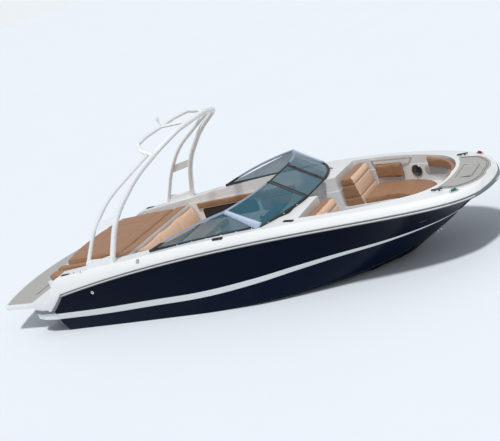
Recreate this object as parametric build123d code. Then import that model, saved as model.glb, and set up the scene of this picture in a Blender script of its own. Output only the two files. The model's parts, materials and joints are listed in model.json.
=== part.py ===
from build123d import *
import os
from math import atan2, cos, pi, radians, sin, sqrt

# An open-bow sport boat of about 8 m over its swim platform, with a
# forward-swept tower, a raked windshield and a steerable, tilting stern drive.
# Millimetres. +X to the bow, +Y to port, +Z up. The origin is on the
# centreline at the transom, at the height of the waterline.

os.makedirs("parts", exist_ok=True)

# Driving dimensions of the hull
RAIL_HALF_BEAM = 1275
RAIL_TAPER_START = 1100
RAIL_TAPER_LENGTH = 5425
RAIL_TAPER_POWER = 2.46
RAIL_NOSE_POWER = 3.28
SHEER_CREST_X = 3973
SHEER_CREST_Z = 939
SHEER_RADIUS = 22600
RAIL_HALF_HEIGHT = 25
RAIL_STANDS_OUT = 18
DECK_CREST_X = 3700
DECK_CREST_Z = 1070
DECK_AFT_STRAIGHT_X = 2040
DECK_AFT_SLOPE = 0.068
DECK_RADIUS = 24000
DECK_LEAN = 75
DECK_CROWN = 25
CROWN_FADE = 700
NOSE_X = 6489
RAIL_TIP_X = 6575

# Stern
QUARTER_X = 300
STERN_SIDE_END_X = -520
STERN_SIDE_BOTTOM = 240
STERN_RAIL_Z = 375
PLATFORM_TOP = 520
EXTENSION_TOP = 490
EXTENSION_THICK = 70
EXTENSION_FRONT_X = -530
EXTENSION_AFT_X = -1200
EXTENSION_HALF = 1050
EXTENSION_FLARE = 45
EXTENSION_BOW = 230
TUNNEL_HALF = 330
TUNNEL_TOP = 385
MAT_THICK = 6

# Cockpit and bow well
SOLE_Z = 100
BOW_SOLE_Z = 330
BOW_SEAT_Z = 640
LINER = 10
COCKPIT_AFT_X = 1330
COCKPIT_FRONT_X = 4120
COCKPIT_SHOULDER_X = 3300
COCKPIT_HALF = 1010
CONSOLE_AFT_X = 3560
WALKWAY_HALF = 290
BOW_WELL_AFT_X = 4330
BOW_WELL_NOSE_X = 6040
SKY = 1500
FAR = 2000

SIDE = Plane(origin=(0, 0, 0), x_dir=(1, 0, 0), z_dir=(0, -1, 0))


def half_breadth(x):
    """Half the beam at the rub rail, x from the transom."""
    t = max(0.0, (x - RAIL_TAPER_START) / RAIL_TAPER_LENGTH)
    return RAIL_HALF_BEAM * (1 - t ** RAIL_TAPER_POWER) ** (1 / RAIL_NOSE_POWER)


def arc_drop(distance, radius):
    """How far a circle of this radius falls at this distance from its crest."""
    return radius - sqrt(radius ** 2 - distance ** 2)


def sheer(x):
    """Height of the rub rail's middle line."""
    return SHEER_CREST_Z - arc_drop(x - SHEER_CREST_X, SHEER_RADIUS)


def deck_edge(x):
    """Height of the gunwale's outer top edge."""
    if x >= DECK_AFT_STRAIGHT_X:
        return DECK_CREST_Z - arc_drop(x - DECK_CREST_X, DECK_RADIUS)
    start = DECK_CREST_Z - arc_drop(DECK_AFT_STRAIGHT_X - DECK_CREST_X, DECK_RADIUS)
    return start - DECK_AFT_SLOPE * (DECK_AFT_STRAIGHT_X - x)


def crown(x):
    """How far the deck's middle stands above its edges, fading out at the bow."""
    return DECK_CROWN * min(1.0, max(0.04, (NOSE_X - x) / CROWN_FADE))


# Shapes that repeat

def line(a, b):
    return Edge.make_line(Vector(*a), Vector(*b))


def arc(a, b, c):
    return Edge.make_three_point_arc(Vector(*a), Vector(*b), Vector(*c))


def mirrored(shape):
    return shape.mirror(Plane.XZ)


def both_sides(piece):
    return piece + mirrored(piece)


def outline(points, radii=None):
    """A closed flat face; radii ease its corners, one for all or one for each."""
    if radii is None:
        return make_face(Polyline(*points, close=True))
    return make_face(FilletPolyline(*points, radius=radii, close=True))


def from_side(points, y_low, y_high, radii=None):
    """An outline of (x, z) points, pushed across the boat from y_low to y_high."""
    return extrude(SIDE.offset(-y_high) * outline(points, radii), y_high - y_low, dir=SIDE.z_dir)


def from_above(points, z_low, z_high, radii=None):
    """An outline of (x, y) points, pushed up from z_low to z_high."""
    return extrude(Pos(0, 0, z_low) * outline(points, radii), z_high - z_low)


def slab(edges, z_low, z_high):
    """A closed ring of flat edges, pushed up from z_low to z_high."""
    return extrude(Pos(0, 0, z_low) * make_face(Wire(edges)), z_high - z_low)


def block(x, y, z):
    """A box from its low and high coordinates on each axis."""
    size = Box(x[1] - x[0], y[1] - y[0], z[1] - z[0])
    return Pos((x[0] + x[1]) / 2, (y[0] + y[1]) / 2, (z[0] + z[1]) / 2) * size


def pad(x, y, z, ease):
    """A stuffed block whose upper edges are eased."""
    body = block(x, y, z)
    return fillet(body.edges().group_by(Axis.Z)[-1], ease)


def sided(side, inner, outer):
    """A low and high y for a piece on one side, +1 to port."""
    return tuple(sorted((side * inner, side * outer)))


def rod(start, end, radius):
    """A round bar between two points."""
    start = Vector(*start)
    end = Vector(*end)
    along = end - start
    plane = Plane(origin=start, z_dir=along.normalized())
    return extrude(plane * Circle(radius), along.length, dir=along.normalized())


def tube_path(points, radii, radius):
    """A round bar along straight runs joined by arcs."""
    path = FilletPolyline(*points, radius=radii)
    start = path @ 0
    plane = Plane(origin=start, z_dir=path % 0)
    return sweep(plane * Circle(radius), path=path)


def across(x, z):
    """A plane at x, z that looks to port."""
    return Plane(origin=(x, 0, z), z_dir=(0, 1, 0))


# Hull

# One row a station: x, keel height, chine half-breadth, chine height, side bulge
HULL_STATIONS = [
    (0, -380, 1090, -50, 28),
    (1200, -380, 1095, -50, 28),
    (2400, -380, 1095, -15, 30),
    (3300, -379, 1060, 45, 32),
    (4000, -350, 945, 95, 40),
    (4600, -235, 745, 130, 52),
    (5100, -58, 480, 165, 55),
    (5500, 162, 215, 240, 45),
    (5850, 365, 70, 392, 30),
    (6150, 556, 50, 580, 18),
    (6350, 672, 40, 690, 8),
    (6490, 742, 30, 752, 3),
]
# One row a lifting strake: its outer edge and its width, as shares of the bottom's half-breadth
STRAKES = [(0.36, 0.05), (0.68, 0.05)]
CHINE_FLAT = 0.055
CHINE_FLAT_RISE = 1.9
STATION_COUNT = 20
STATION_CROWDING = 1.5
LOFT_START_X = -400


def station_at(x):
    """A row of the table at any x, on smooth curves that never overshoot their rows."""
    rows = HULL_STATIONS
    if x <= 0:
        return (x, *rows[0][1:])
    i = max(k for k in range(len(rows) - 1) if rows[k][0] <= x)
    length = rows[i + 1][0] - rows[i][0]
    t = (x - rows[i][0]) / length

    def rise(k, column):
        return (rows[k + 1][column] - rows[k][column]) / (rows[k + 1][0] - rows[k][0])

    def slope(k, column):
        if k == 0:
            return 0.0
        if k == len(rows) - 1:
            return rise(k - 1, column)
        before = rise(k - 1, column)
        after = rise(k, column)
        if before * after <= 0:
            return 0.0
        return 2 * before * after / (before + after)

    values = [x]
    for column in range(1, len(rows[0])):
        a = rows[i][column]
        b = rows[i + 1][column]
        m = slope(i, column) * length
        n = slope(i + 1, column) * length
        values.append(a * (2 * t ** 3 - 3 * t ** 2 + 1) + m * (t ** 3 - 2 * t ** 2 + t)
                      + b * (3 * t ** 2 - 2 * t ** 3) + n * (t ** 3 - t ** 2))
    return tuple(values)


def spaced(start, end):
    """Station places that close up smoothly towards the bow."""
    last = STATION_COUNT - 1
    return [end - (end - start) * (1 - i / last) ** STATION_CROWDING for i in range(STATION_COUNT)]


RAIL_STATIONS = spaced(LOFT_START_X, HULL_STATIONS[-1][0])


def side_middle(station):
    """The middle point of the topside's arc, half-breadth and height."""
    x, _, chine_y, chine_z, bulge = station
    top_y = half_breadth(x)
    top_z = sheer(x) - RAIL_HALF_HEIGHT
    rise = top_z - chine_z
    run = top_y - chine_y
    length = sqrt(rise ** 2 + run ** 2)
    return (chine_y + top_y) / 2 + bulge * rise / length, (chine_z + top_z) / 2 - bulge * run / length


def bottom_points(station):
    """Half the bottom from keel to chine flat: a vee with a level step under each strake."""
    _, keel_z, chine_y, chine_z, _ = station
    inner_y = chine_y * (1 - CHINE_FLAT)
    inner_z = keel_z + (chine_z - keel_z) * (1 - CHINE_FLAT * CHINE_FLAT_RISE)
    points = [(0, keel_z)]
    for edge, width in STRAKES:
        start = edge - width
        start_z = keel_z + (inner_z - keel_z) * start
        points += [(inner_y * start, start_z), (inner_y * edge, start_z),
                   (inner_y * edge, keel_z + (inner_z - keel_z) * edge)]
    return points + [(inner_y, inner_z), (chine_y, chine_z)]


def hull_section(station):
    x = station[0]
    bottom = [(x, y, z) for y, z in bottom_points(station)]
    flipped = [(x, -y, z) for x, y, z in reversed(bottom)]
    middle_y, middle_z = side_middle(station)
    top_y = half_breadth(x)
    top_z = sheer(x) - RAIL_HALF_HEIGHT
    edges = [line(a, b) for a, b in zip(bottom, bottom[1:])]
    edges.append(arc(bottom[-1], (x, middle_y, middle_z), (x, top_y, top_z)))
    edges.append(line((x, top_y, top_z), (x, -top_y, top_z)))
    edges.append(arc((x, -top_y, top_z), (x, -middle_y, middle_z), flipped[0]))
    edges += [line(a, b) for a, b in zip(flipped, flipped[1:])]
    return Wire(edges)


# The rub rail's fall at the stern, two arcs of (x, z) points from fore to aft
QUARTER_FALL = [(QUARTER_X, sheer(QUARTER_X)), (150, 512), (0, 408)]
QUARTER_EASE = [(0, 408), (-42, 383), (-90, STERN_RAIL_Z)]


def above_quarter_line(offset):
    """Everything aft of the quarter and above the rail's line, raised by offset."""
    fall = [(x, 0, z + offset) for x, z in QUARTER_FALL]
    ease = [(x, 0, z + offset) for x, z in QUARTER_EASE]
    rest = [ease[-1], (-FAR, 0, STERN_RAIL_Z + offset), (-FAR, 0, FAR), (QUARTER_X, 0, FAR), fall[0]]
    edges = [arc(*fall), arc(*ease)] + [line(a, b) for a, b in zip(rest, rest[1:])]
    face = make_face(Wire(edges))
    return extrude(Pos(0, FAR, 0) * face, 2 * FAR, dir=(0, -1, 0))


STERN_SIDE = [(0, 1212), (-300, 1190), (STERN_SIDE_END_X, 1120)]
STERN_CORNER = 60


def stern_plan(outset):
    side = [(x, y + outset) for x, y in STERN_SIDE]
    return side + [(x, -y) for x, y in reversed(side)]


def stern_slab(outset, z_low, z_high):
    """The stern's plan with its two after corners eased, pushed from z_low to z_high."""
    plan = from_above(stern_plan(outset), z_low, z_high)
    corners = plan.edges().filter_by(Axis.Z).group_by(Axis.X)[0]
    return fillet(corners, STERN_CORNER)


# Interior outlines, each drawn in by an inset

def cockpit_prism(inset, z_low):
    """The cockpit, its front corners curved like the windshield's foot."""
    half = COCKPIT_HALF - inset
    aft = COCKPIT_AFT_X + inset
    front = COCKPIT_FRONT_X - inset
    nose = half * 0.74
    bend = (3780, half * 0.925)
    return slab([
        line((aft, half), (aft, -half)),
        line((aft, -half), (COCKPIT_SHOULDER_X, -half)),
        arc((COCKPIT_SHOULDER_X, -half), (bend[0], -bend[1]), (front, -nose)),
        line((front, -nose), (front, nose)),
        arc((front, nose), bend, (COCKPIT_SHOULDER_X, half)),
        line((COCKPIT_SHOULDER_X, half), (aft, half)),
    ], z_low, SKY)


def footwell_prism(inset, z_low):
    """The floor between the bow seats, with a round front."""
    aft = BOW_WELL_AFT_X + inset
    half = 300 - inset
    return slab([
        line((aft, half), (aft, -half)),
        line((aft, -half), (5000, -half + 10)),
        arc((5000, -half + 10), (5330 - inset, 0), (5000, half - 10)),
        line((5000, half - 10), (aft, half)),
    ], z_low, SKY)


def bow_edges(inset):
    """The bow well above the seats, a round nose between the coamings."""
    aft = BOW_WELL_AFT_X + inset
    corner = (aft, 930 - inset)
    bend = (5060, 855 - inset)
    shoulder = (5690 - inset * 0.5, 650 - inset * 0.8)
    cheek = (5950 - inset * 0.8, 430 - inset * 0.6)
    tip = (BOW_WELL_NOSE_X - inset, 0)
    return [
        line(corner, (aft, -corner[1])),
        arc((aft, -corner[1]), (bend[0], -bend[1]), (shoulder[0], -shoulder[1])),
        arc((shoulder[0], -shoulder[1]), (cheek[0], -cheek[1]), tip),
        arc(tip, cheek, shoulder),
        arc(shoulder, bend, corner),
    ]


def walkway_outline(inset):
    end = BOW_WELL_AFT_X + 60
    half = WALKWAY_HALF - inset
    return [(CONSOLE_AFT_X, -half), (end, -half), (end, half), (CONSOLE_AFT_X, half)]


def interior(inset, sole_drop):
    """The whole hollow: cockpit, walk-through and bow well."""
    shape = cockpit_prism(inset, SOLE_Z - sole_drop)
    shape += from_above(walkway_outline(inset), SOLE_Z - sole_drop, SKY)
    shape += footwell_prism(inset, BOW_SOLE_Z - sole_drop)
    shape += slab(bow_edges(inset), BOW_SEAT_Z - sole_drop, SKY)
    return shape


ENGINE_BAY = ((120, 1220), (-520, 520), (-150, SKY))
AFT_WELL_HALF = 1010
LOCKER_X = (6165, 6335)
LOCKER_HALF = 185
LOCKER_FLOOR = 735
LOCKER_RIM = 20
LID_THICK = 20
LID_TOP = 955

hollow = interior(0, LINER + 2)
engine_room = block(*ENGINE_BAY)
aft_well = block((-200, COCKPIT_AFT_X), (-AFT_WELL_HALF, AFT_WELL_HALF), (PLATFORM_TOP, SKY))
locker = block(LOCKER_X, (-LOCKER_HALF, LOCKER_HALF), (LOCKER_FLOOR, SKY))
lid_seat = block((LOCKER_X[0] - LOCKER_RIM, LOCKER_X[1] + LOCKER_RIM),
                 (-LOCKER_HALF - LOCKER_RIM, LOCKER_HALF + LOCKER_RIM), (LID_TOP - LID_THICK, SKY))
tunnel = block((-FAR, 0), (-TUNNEL_HALF, TUNNEL_HALF), (0, TUNNEL_TOP))
behind_transom = block((-FAR, 0), (-FAR, FAR), (-FAR, FAR))
behind_quarter = block((-FAR, QUARTER_X), (-FAR, FAR), (-FAR, FAR))


def make_hull():
    body = Solid.make_loft([hull_section(station_at(x)) for x in RAIL_STATIONS])
    body = body - above_quarter_line(-RAIL_HALF_HEIGHT) - behind_transom
    stern = stern_slab(0, STERN_SIDE_BOTTOM, STERN_RAIL_Z - RAIL_HALF_HEIGHT) - tunnel
    return body + stern - hollow - engine_room - aft_well - locker


def rail_section(x):
    y = half_breadth(x)
    z = sheer(x)
    out = y + RAIL_STANDS_OUT
    nose = RAIL_HALF_HEIGHT * 0.55
    half = [(y, z - RAIL_HALF_HEIGHT), (out, z - nose), (out, z + nose), (y, z + RAIL_HALF_HEIGHT)]
    ring = half + [(-a, b) for a, b in reversed(half)]
    points = [(x, a, b) for a, b in ring]
    return Wire([line(points[i], points[(i + 1) % len(points)]) for i in range(len(points))])


def nose_plan(x, half, tip):
    """A flat ring from side to side round the bow's tip."""
    return [arc((x, -half), (tip, 0), (x, half)), line((x, half), (x, -half))]


def make_rub_rail():
    """The rail round the boat: along the sheer, down the quarters and round the stern."""
    body = Solid.make_loft([rail_section(x) for x in RAIL_STATIONS]) - behind_quarter
    nose_z = sheer(NOSE_X)
    nose_half = half_breadth(NOSE_X) + RAIL_STANDS_OUT - 2
    body += slab(nose_plan(NOSE_X, nose_half, RAIL_TIP_X),
                 nose_z - RAIL_HALF_HEIGHT * 0.9, nose_z + RAIL_HALF_HEIGHT * 0.9)
    band = above_quarter_line(-RAIL_HALF_HEIGHT) - above_quarter_line(RAIL_HALF_HEIGHT)
    quarter = (quarter_loft(RAIL_STANDS_OUT) & band) - behind_transom
    stern = stern_slab(RAIL_STANDS_OUT, STERN_RAIL_Z - RAIL_HALF_HEIGHT, STERN_RAIL_Z + RAIL_HALF_HEIGHT)
    stern -= tunnel + block((-FAR, 0), (-TUNNEL_HALF, TUNNEL_HALF), (0, FAR))
    return body + quarter + stern - hollow - engine_room - aft_well - locker


def gunwale_edges(x, top_half, low, high, rise):
    """The deck's cross-section above the rail, from starboard over the crown to port."""
    inner = top_half - DECK_LEAN
    middle_y = top_half - DECK_LEAN * 0.28
    middle_z = (low + high) / 2
    return [
        arc((x, top_half, low), (x, middle_y, middle_z), (x, inner, high)),
        arc((x, inner, high), (x, 0, high + rise), (x, -inner, high)),
        arc((x, -inner, high), (x, -middle_y, middle_z), (x, -top_half, low)),
    ]


def deck_section(x, lift=0):
    y = half_breadth(x)
    low = sheer(x) + RAIL_HALF_HEIGHT
    edges = gunwale_edges(x, y, low, deck_edge(x) + lift, crown(x))
    return Wire([line((x, -y, low), (x, y, low))] + edges)


def quarter_section(x, outset):
    """The whole section at the quarter: topside, rail band and gunwale as one outline."""
    station = station_at(max(x, 0))
    middle_y, middle_z = side_middle((x, *station[1:]))
    chine_y = station[2] + outset
    chine_z = station[3]
    y = half_breadth(x) + outset
    low = sheer(x) - RAIL_HALF_HEIGHT
    high = sheer(x) + RAIL_HALF_HEIGHT
    return Wire([
        line((x, -chine_y, chine_z), (x, chine_y, chine_z)),
        arc((x, chine_y, chine_z), (x, middle_y + outset, middle_z), (x, y, low)),
        line((x, y, low), (x, y, high)),
        *gunwale_edges(x, y, high, deck_edge(x), crown(x)),
        line((x, -y, high), (x, -y, low)),
        arc((x, -y, low), (x, -middle_y - outset, middle_z), (x, -chine_y, chine_z)),
    ])


def quarter_loft(outset):
    return Solid.make_loft([quarter_section(x, outset) for x in (-120, 90, QUARTER_X)])


def deck_body(lift=0):
    return Solid.make_loft([deck_section(x, lift) for x in RAIL_STATIONS])


def make_deck():
    body = deck_body() - behind_quarter
    low = sheer(NOSE_X) + RAIL_HALF_HEIGHT
    half = half_breadth(NOSE_X)
    foot = Wire(nose_plan(NOSE_X, half, RAIL_TIP_X - RAIL_STANDS_OUT)).moved(Location((0, 0, low)))
    top = Wire(nose_plan(NOSE_X, half - DECK_LEAN, RAIL_TIP_X - RAIL_STANDS_OUT - DECK_LEAN * 0.6))
    nose = Solid.make_loft([foot, top.moved(Location((0, 0, deck_edge(NOSE_X))))], ruled=True)
    return body + nose - hollow - aft_well - locker - lid_seat


QUARTER_TOP = [(QUARTER_X, deck_edge(QUARTER_X)), (236, deck_edge(QUARTER_X) - 26), (150, 770)]
QUARTER_FOOT = [(35, 600), (-20, 537), (-100, PLATFORM_TOP)]


def make_stern_moulding():
    """The white stern: the fixed part of the platform and the quarters that sweep up from it."""
    low = STERN_RAIL_Z + RAIL_HALF_HEIGHT
    platform = stern_slab(0, low, PLATFORM_TOP)
    top = [(x, 0, z) for x, z in QUARTER_TOP]
    foot = [(x, 0, z) for x, z in QUARTER_FOOT]
    ring = [foot[-1], (-100, 0, 0), (QUARTER_X, 0, 0), top[0]]
    edges = [arc(*top), line(top[-1], foot[0]), arc(*foot)]
    edges += [line(a, b) for a, b in zip(ring, ring[1:])]
    profile = extrude(Pos(0, FAR, 0) * make_face(Wire(edges)), 2 * FAR, dir=(0, -1, 0))
    quarter = quarter_loft(0) & profile & above_quarter_line(RAIL_HALF_HEIGHT)
    quarter -= block((-FAR, QUARTER_X + 1), (-AFT_WELL_HALF, AFT_WELL_HALF), (PLATFORM_TOP, SKY))
    return platform + quarter - tunnel - block((110, 1230), (-540, 540), (0, SKY))


def extension_edges(inset):
    """The swim platform's plan: a bowed after edge between slanting sides."""
    half = EXTENSION_HALF - inset
    front = EXTENSION_FRONT_X - inset * 0.8
    aft = EXTENSION_AFT_X + inset * 0.6
    return [
        arc((aft, half), (EXTENSION_AFT_X - EXTENSION_BOW + inset, 0), (aft, -half)),
        line((aft, -half), (front, -half - EXTENSION_FLARE)),
        line((front, -half - EXTENSION_FLARE), (front, half + EXTENSION_FLARE)),
        line((front, half + EXTENSION_FLARE), (aft, half)),
    ]


def make_platform_extension():
    plate = slab(extension_edges(0), EXTENSION_TOP - EXTENSION_THICK, EXTENSION_TOP)
    corners = plate.edges().filter_by(Axis.Z).group_by(Axis.X)[0]
    plate = fillet(corners, 90)
    return fillet(plate.edges().group_by(Axis.Z)[0] + plate.edges().group_by(Axis.Z)[-1], 10)


def make_platform_mat():
    mat = slab(extension_edges(55), EXTENSION_TOP, EXTENSION_TOP + MAT_THICK)
    corners = mat.edges().filter_by(Axis.Z)
    return fillet(corners, 40)


# Interior mouldings

LINER_TOP = 890
CONSOLE_HALF = 985
CONSOLE_PROFILE = [(3560, SOLE_Z), (4318, SOLE_Z), (4318, 1010), (3980, 1070), (3700, 1050), (3560, 880)]
CONSOLE_EASE = [5, 5, 60, 200, 120, 90]
DOOR_X = (3700, 4050)
DOOR_Z = (190, 900)
GROOVE = 8


def make_liner():
    """Sole, side walls and bow well, one sheet thick."""
    outer = interior(1, LINER) & block((0, 7000), (-FAR, FAR), (0, LINER_TOP))
    return outer - interior(LINER, 0)


def make_floor_mat():
    plan = [(2050, -930), (3280, -930), (3520, -860), (3520, 860), (3280, 930), (2050, 930)]
    aisle_half = WALKWAY_HALF - 20
    aisle = block((3519, 4380), (-aisle_half, aisle_half), (SOLE_Z, SOLE_Z + MAT_THICK))
    return from_above(plan, SOLE_Z, SOLE_Z + MAT_THICK, 60) + aisle


def make_console(side):
    """A moulded console between cockpit and bow, with a door let into its walkway side, +1 to port."""
    inner = WALKWAY_HALF + 12
    low, high = sided(side, inner, CONSOLE_HALF)
    body = from_side(CONSOLE_PROFILE, low, high, CONSOLE_EASE)
    plan = [(3550, side * inner), (4318, side * inner), (4318, side * 915), (3900, side * 995),
            (3550, side * 985)]
    body = body & from_above(plan, 0, SKY) & interior(LINER, 0)
    reach = sided(side, inner, inner + GROOVE)
    door = [(DOOR_X[0], DOOR_Z[0]), (DOOR_X[1], DOOR_Z[0]), (DOOR_X[1], DOOR_Z[1]), (DOOR_X[0], DOOR_Z[1])]
    leaf = [(DOOR_X[0] + GROOVE, DOOR_Z[0] + GROOVE), (DOOR_X[1] - GROOVE, DOOR_Z[0] + GROOVE),
            (DOOR_X[1] - GROOVE, DOOR_Z[1] - GROOVE), (DOOR_X[0] + GROOVE, DOOR_Z[1] - GROOVE)]
    return body - (from_side(door, *reach, 70) - from_side(leaf, *reach, 70 - GROOVE))


def make_bow_cushion(side):
    """The seat along one side of the bow well, drawn to port and flipped for starboard."""
    seat = slab([
        line((4640, 305), (5000, 305)),
        arc((5000, 305), (5240, 235), (5380, 100)),
        line((5380, 100), (5700, 100)),
        arc((5700, 100), (5690, 350), (5500, 600)),
        arc((5500, 600), (5080, 775), (4640, 835)),
        line((4640, 835), (4640, 305)),
    ], BOW_SEAT_Z, BOW_SEAT_Z + 80)
    return seat if side > 0 else mirrored(seat)


def make_bow_back(side):
    """A seat back that leans against its console."""
    profile = [(4350, BOW_SEAT_Z), (4630, BOW_SEAT_Z), (4560, 1040), (4380, 1040)]
    return from_side(profile, *sided(side, 310, 880), [2, 2, 50, 50])


def coaming_top(drop):
    """A side view under the coaming's edge: everything lower than drop below it."""
    ends = [(x, 0, deck_edge(x) - drop) for x in (BOW_WELL_AFT_X, 5200, BOW_WELL_NOSE_X + 100)]
    ring = [ends[-1], (BOW_WELL_NOSE_X + 100, 0, 0), (BOW_WELL_AFT_X, 0, 0), ends[0]]
    face = make_face(Wire([arc(*ends)] + [line(a, b) for a, b in zip(ring, ring[1:])]))
    return extrude(Pos(0, FAR, 0) * face, 2 * FAR, dir=(0, -1, 0))


def make_bow_bolsters():
    """Stuffed rims inside the coaming: one round the nose, one beside each seat back."""
    nose = slab(bow_edges(LINER), 0, SKY) - slab(bow_edges(LINER + 56), 0, SKY)
    nose = nose & (coaming_top(8) - coaming_top(150)) & block((5480, 6100), (-FAR, FAR), (0, SKY))
    side = slab(bow_edges(LINER), 0, SKY) - slab(bow_edges(LINER + 71), 0, SKY)
    side = side & (coaming_top(85) - coaming_top(285)) & block((4650, 5065), (-FAR, FAR), (0, SKY))
    return nose + side


def make_bow_mat():
    """The non-slip mat on the foredeck, cut out round the locker's lid."""
    skin = deck_body(MAT_THICK) - deck_body()
    plan = slab([
        arc((5990, 500), (6105, 0), (5990, -500)),
        line((5990, -500), (6230, -500)),
        arc((6230, -500), (6425, -330), (6475, 0)),
        arc((6475, 0), (6425, 330), (6230, 500)),
        line((6230, 500), (5990, 500)),
    ], 850, SKY)
    return (skin & plan) - lid_seat


def make_bow_rails():
    """A grab rail inside each coaming, above the side bolster."""
    rails = Part()
    for side in (-1, 1):
        path = [(4600, side * 925, 1015), (4690, side * 845, 1032), (5190, side * 785, 1004),
                (5270, side * 832, 985)]
        rails += tube_path(path, [45, 45], 11)
    return rails


# Aft seating

AFT_DECK_TOP = 780
HATCH_X = (-120, 1060)
HATCH_Y = (-560, 985)
HATCH_Z = (790, 812)
HATCH_AXIS = (-124, 790)
HATCH_HINGES = (-380, 200, 780)
HINGE_RADIUS = 9
HINGE_LENGTH = 60
SUN_PAD_THICK = 75


def make_engine():
    return block((180, 1020), (-330, 330), (ENGINE_BAY[2][0], 560))


def make_engine_hatch():
    """The lid under the sun pad, stiffened round its rim, with its hinges' barrels."""
    panel = block(HATCH_X, HATCH_Y, HATCH_Z)
    for y in HATCH_HINGES:
        for side in (-1, 1):
            notch = (side * (HINGE_LENGTH / 2), side * (HINGE_LENGTH / 2 + 16))
            panel -= block((-150, -100), (y + min(notch), y + max(notch)), (0, SKY))
        centre = Plane(origin=(HATCH_AXIS[0], y, HATCH_AXIS[1]), z_dir=(0, 1, 0))
        panel += centre * Cylinder(HINGE_RADIUS, HINGE_LENGTH)
    return panel


def make_sun_pad():
    y_low, y_high = HATCH_Y[0] + 10, HATCH_Y[1] - 10
    body = slab([
        arc((-60, y_low), (-165, 100), (-20, y_high)),
        line((-20, y_high), (1050, y_high)),
        line((1050, y_high), (1050, y_low)),
        line((1050, y_low), (-60, y_low)),
    ], HATCH_Z[1], HATCH_Z[1] + SUN_PAD_THICK)
    return fillet(body.edges().group_by(Axis.Z)[-1], 20)


def make_aft_deck():
    """The moulding that carries the sun pad, round the engine room, with the hinges' ears."""
    body = block((-110, 1320), (-1008, 1008), (PLATFORM_TOP, AFT_DECK_TOP))
    body -= block((110, 1230), (-540, 540), (0, SKY))
    reach = HINGE_LENGTH / 2 + 2
    for y in HATCH_HINGES:
        for side in (-1, 1):
            start = y + side * reach
            ear = sorted((start, start + side * 10))
            body += block((-133, -108), ear, (745, 790))
            body += Plane(origin=(HATCH_AXIS[0], sum(ear) / 2, HATCH_AXIS[1]), z_dir=(0, 1, 0)) * Cylinder(9, 10)
    return body


def make_walkway_pads():
    """The pads beside the sun pad; the starboard one is the way through to the platform."""
    inner = pad((-80, 1050), (-775, -650), (AFT_DECK_TOP, 870), 15)
    return inner + pad((-60, 1050), (-1000, -835), (AFT_DECK_TOP, 870), 15)


def make_bench_base():
    return block((1341, 1930), (-985, 985), (SOLE_Z, 460))


def make_bench_seat():
    return pad((1455, 1960), (-980, 980), (460, 560), 30)


def make_bench_back():
    profile = [(1075, AFT_DECK_TOP), (1330, AFT_DECK_TOP), (1345, 560), (1452, 560), (1440, 700), (1390, 830),
               (1300, 895), (1075, 885)]
    ease = [3, 3, 3, 3, 150, 90, 50, 12]
    return from_side(profile, -985, 985, ease)


def make_port_lounge_base():
    return block((2700, 3500), (470, 984), (SOLE_Z, 430))


def make_port_lounge_seat():
    """A companion seat that faces aft, its back against the console."""
    back = from_side([(3420, 530), (3545, 530), (3530, 900), (3440, 900)], 465, 980, [2, 2, 40, 40])
    return pad((2690, 3520), (465, 984), (430, 531), 25) + back


def make_gunwale_pads():
    pads = Part()
    for side in (-1, 1):
        pads += block((1480, 3280), sided(side, 965, COCKPIT_HALF - LINER), (780, 885))
    return pads


# Helm

HELM_SEAT_X = 2950
HELM_SEAT_Y = -585
WHEEL_CENTRE = (3470, -585, 800)
WHEEL_TILT = 30
WHEEL_RADIUS = 175
CHAIR_HALF = 245
SEAT_PAN_Z = 366


def make_helm_pedestal():
    """A footplate, a flared foot and a round post, turned in one."""
    post_top = SEAT_PAN_Z - SOLE_Z - 0.3
    half = [(0, 0), (150, 0), (150, 10), (78, 40), (60, 110), (60, post_top), (0, post_top)]
    face = make_face(Polyline(*[(r, 0, z) for r, z in half], close=True))
    return Pos(HELM_SEAT_X, HELM_SEAT_Y, SOLE_Z) * revolve(face, Axis.Z)


def make_helm_seat():
    """The swivelling bucket's shell: a pan and a curved, leaning back."""
    x, y = HELM_SEAT_X, HELM_SEAT_Y
    pan = from_above([(x - 235, y - 225), (x + 250, y - CHAIR_HALF), (x + 250, y + CHAIR_HALF),
                      (x - 235, y + 225)], SEAT_PAN_Z, 400, 60)
    back = from_side([(x - 235, 368), (x - 190, 368), (x - 225, 900), (x - 270, 900)],
                     y - CHAIR_HALF, y + CHAIR_HALF, [5, 5, 20, 20])
    return pan + back


def make_helm_cushions():
    """Seat, back and two side bolsters."""
    x, y = HELM_SEAT_X, HELM_SEAT_Y
    seat = pad((x - 115, x + 250), (y - 175, y + 175), (400, 500), 30)
    back = from_side([(x - 200, 400), (x - 117, 400), (x - 150, 930), (x - 238, 930)],
                     y - 175, y + 175, [3, 3, 30, 30])
    bolsters = Part()
    for side in (-1, 1):
        low, high = sorted((y + side * 180, y + side * CHAIR_HALF))
        bolsters += from_side([(x - 100, 400), (x + 230, 400), (x + 215, 520), (x - 100, 575)],
                              low, high, [3, 3, 50, 30])
    return seat + back + bolsters


def wheel_plane():
    lean = radians(WHEEL_TILT)
    return Plane(origin=WHEEL_CENTRE, x_dir=(0, 1, 0), z_dir=(cos(lean), 0, -sin(lean)))


def make_steering_wheel():
    """Rim, hub, shaft and three flat spokes."""
    plane = wheel_plane()
    wheel = plane * Torus(WHEEL_RADIUS, 15)
    wheel += plane * Cylinder(38, 36)
    for turn in (90, 210, 330):
        spoke = outline([(20, -22), (170, -12), (170, 12), (20, 22)])
        wheel += plane * (Rot(0, 0, turn) * extrude(Pos(0, 0, -5) * spoke, 10))
    return wheel + plane * (Pos(0, 0, 47) * Cylinder(16, 90))


def make_dash():
    """The instrument hood on the helm console, with the wheel's column boss."""
    hood = from_side([(3540, 690), (3520, 800), (3600, 985), (3700, 1075), (3900, 1085), (3900, 690)],
                     -930, -320, [5, 30, 40, 60, 30, 5])
    hood += wheel_plane() * (Pos(0, 0, 60) * Cylinder(45, 44))
    return hood - wheel_plane() * (Pos(0, 0, 60) * Cylinder(17.5, 90))


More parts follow.
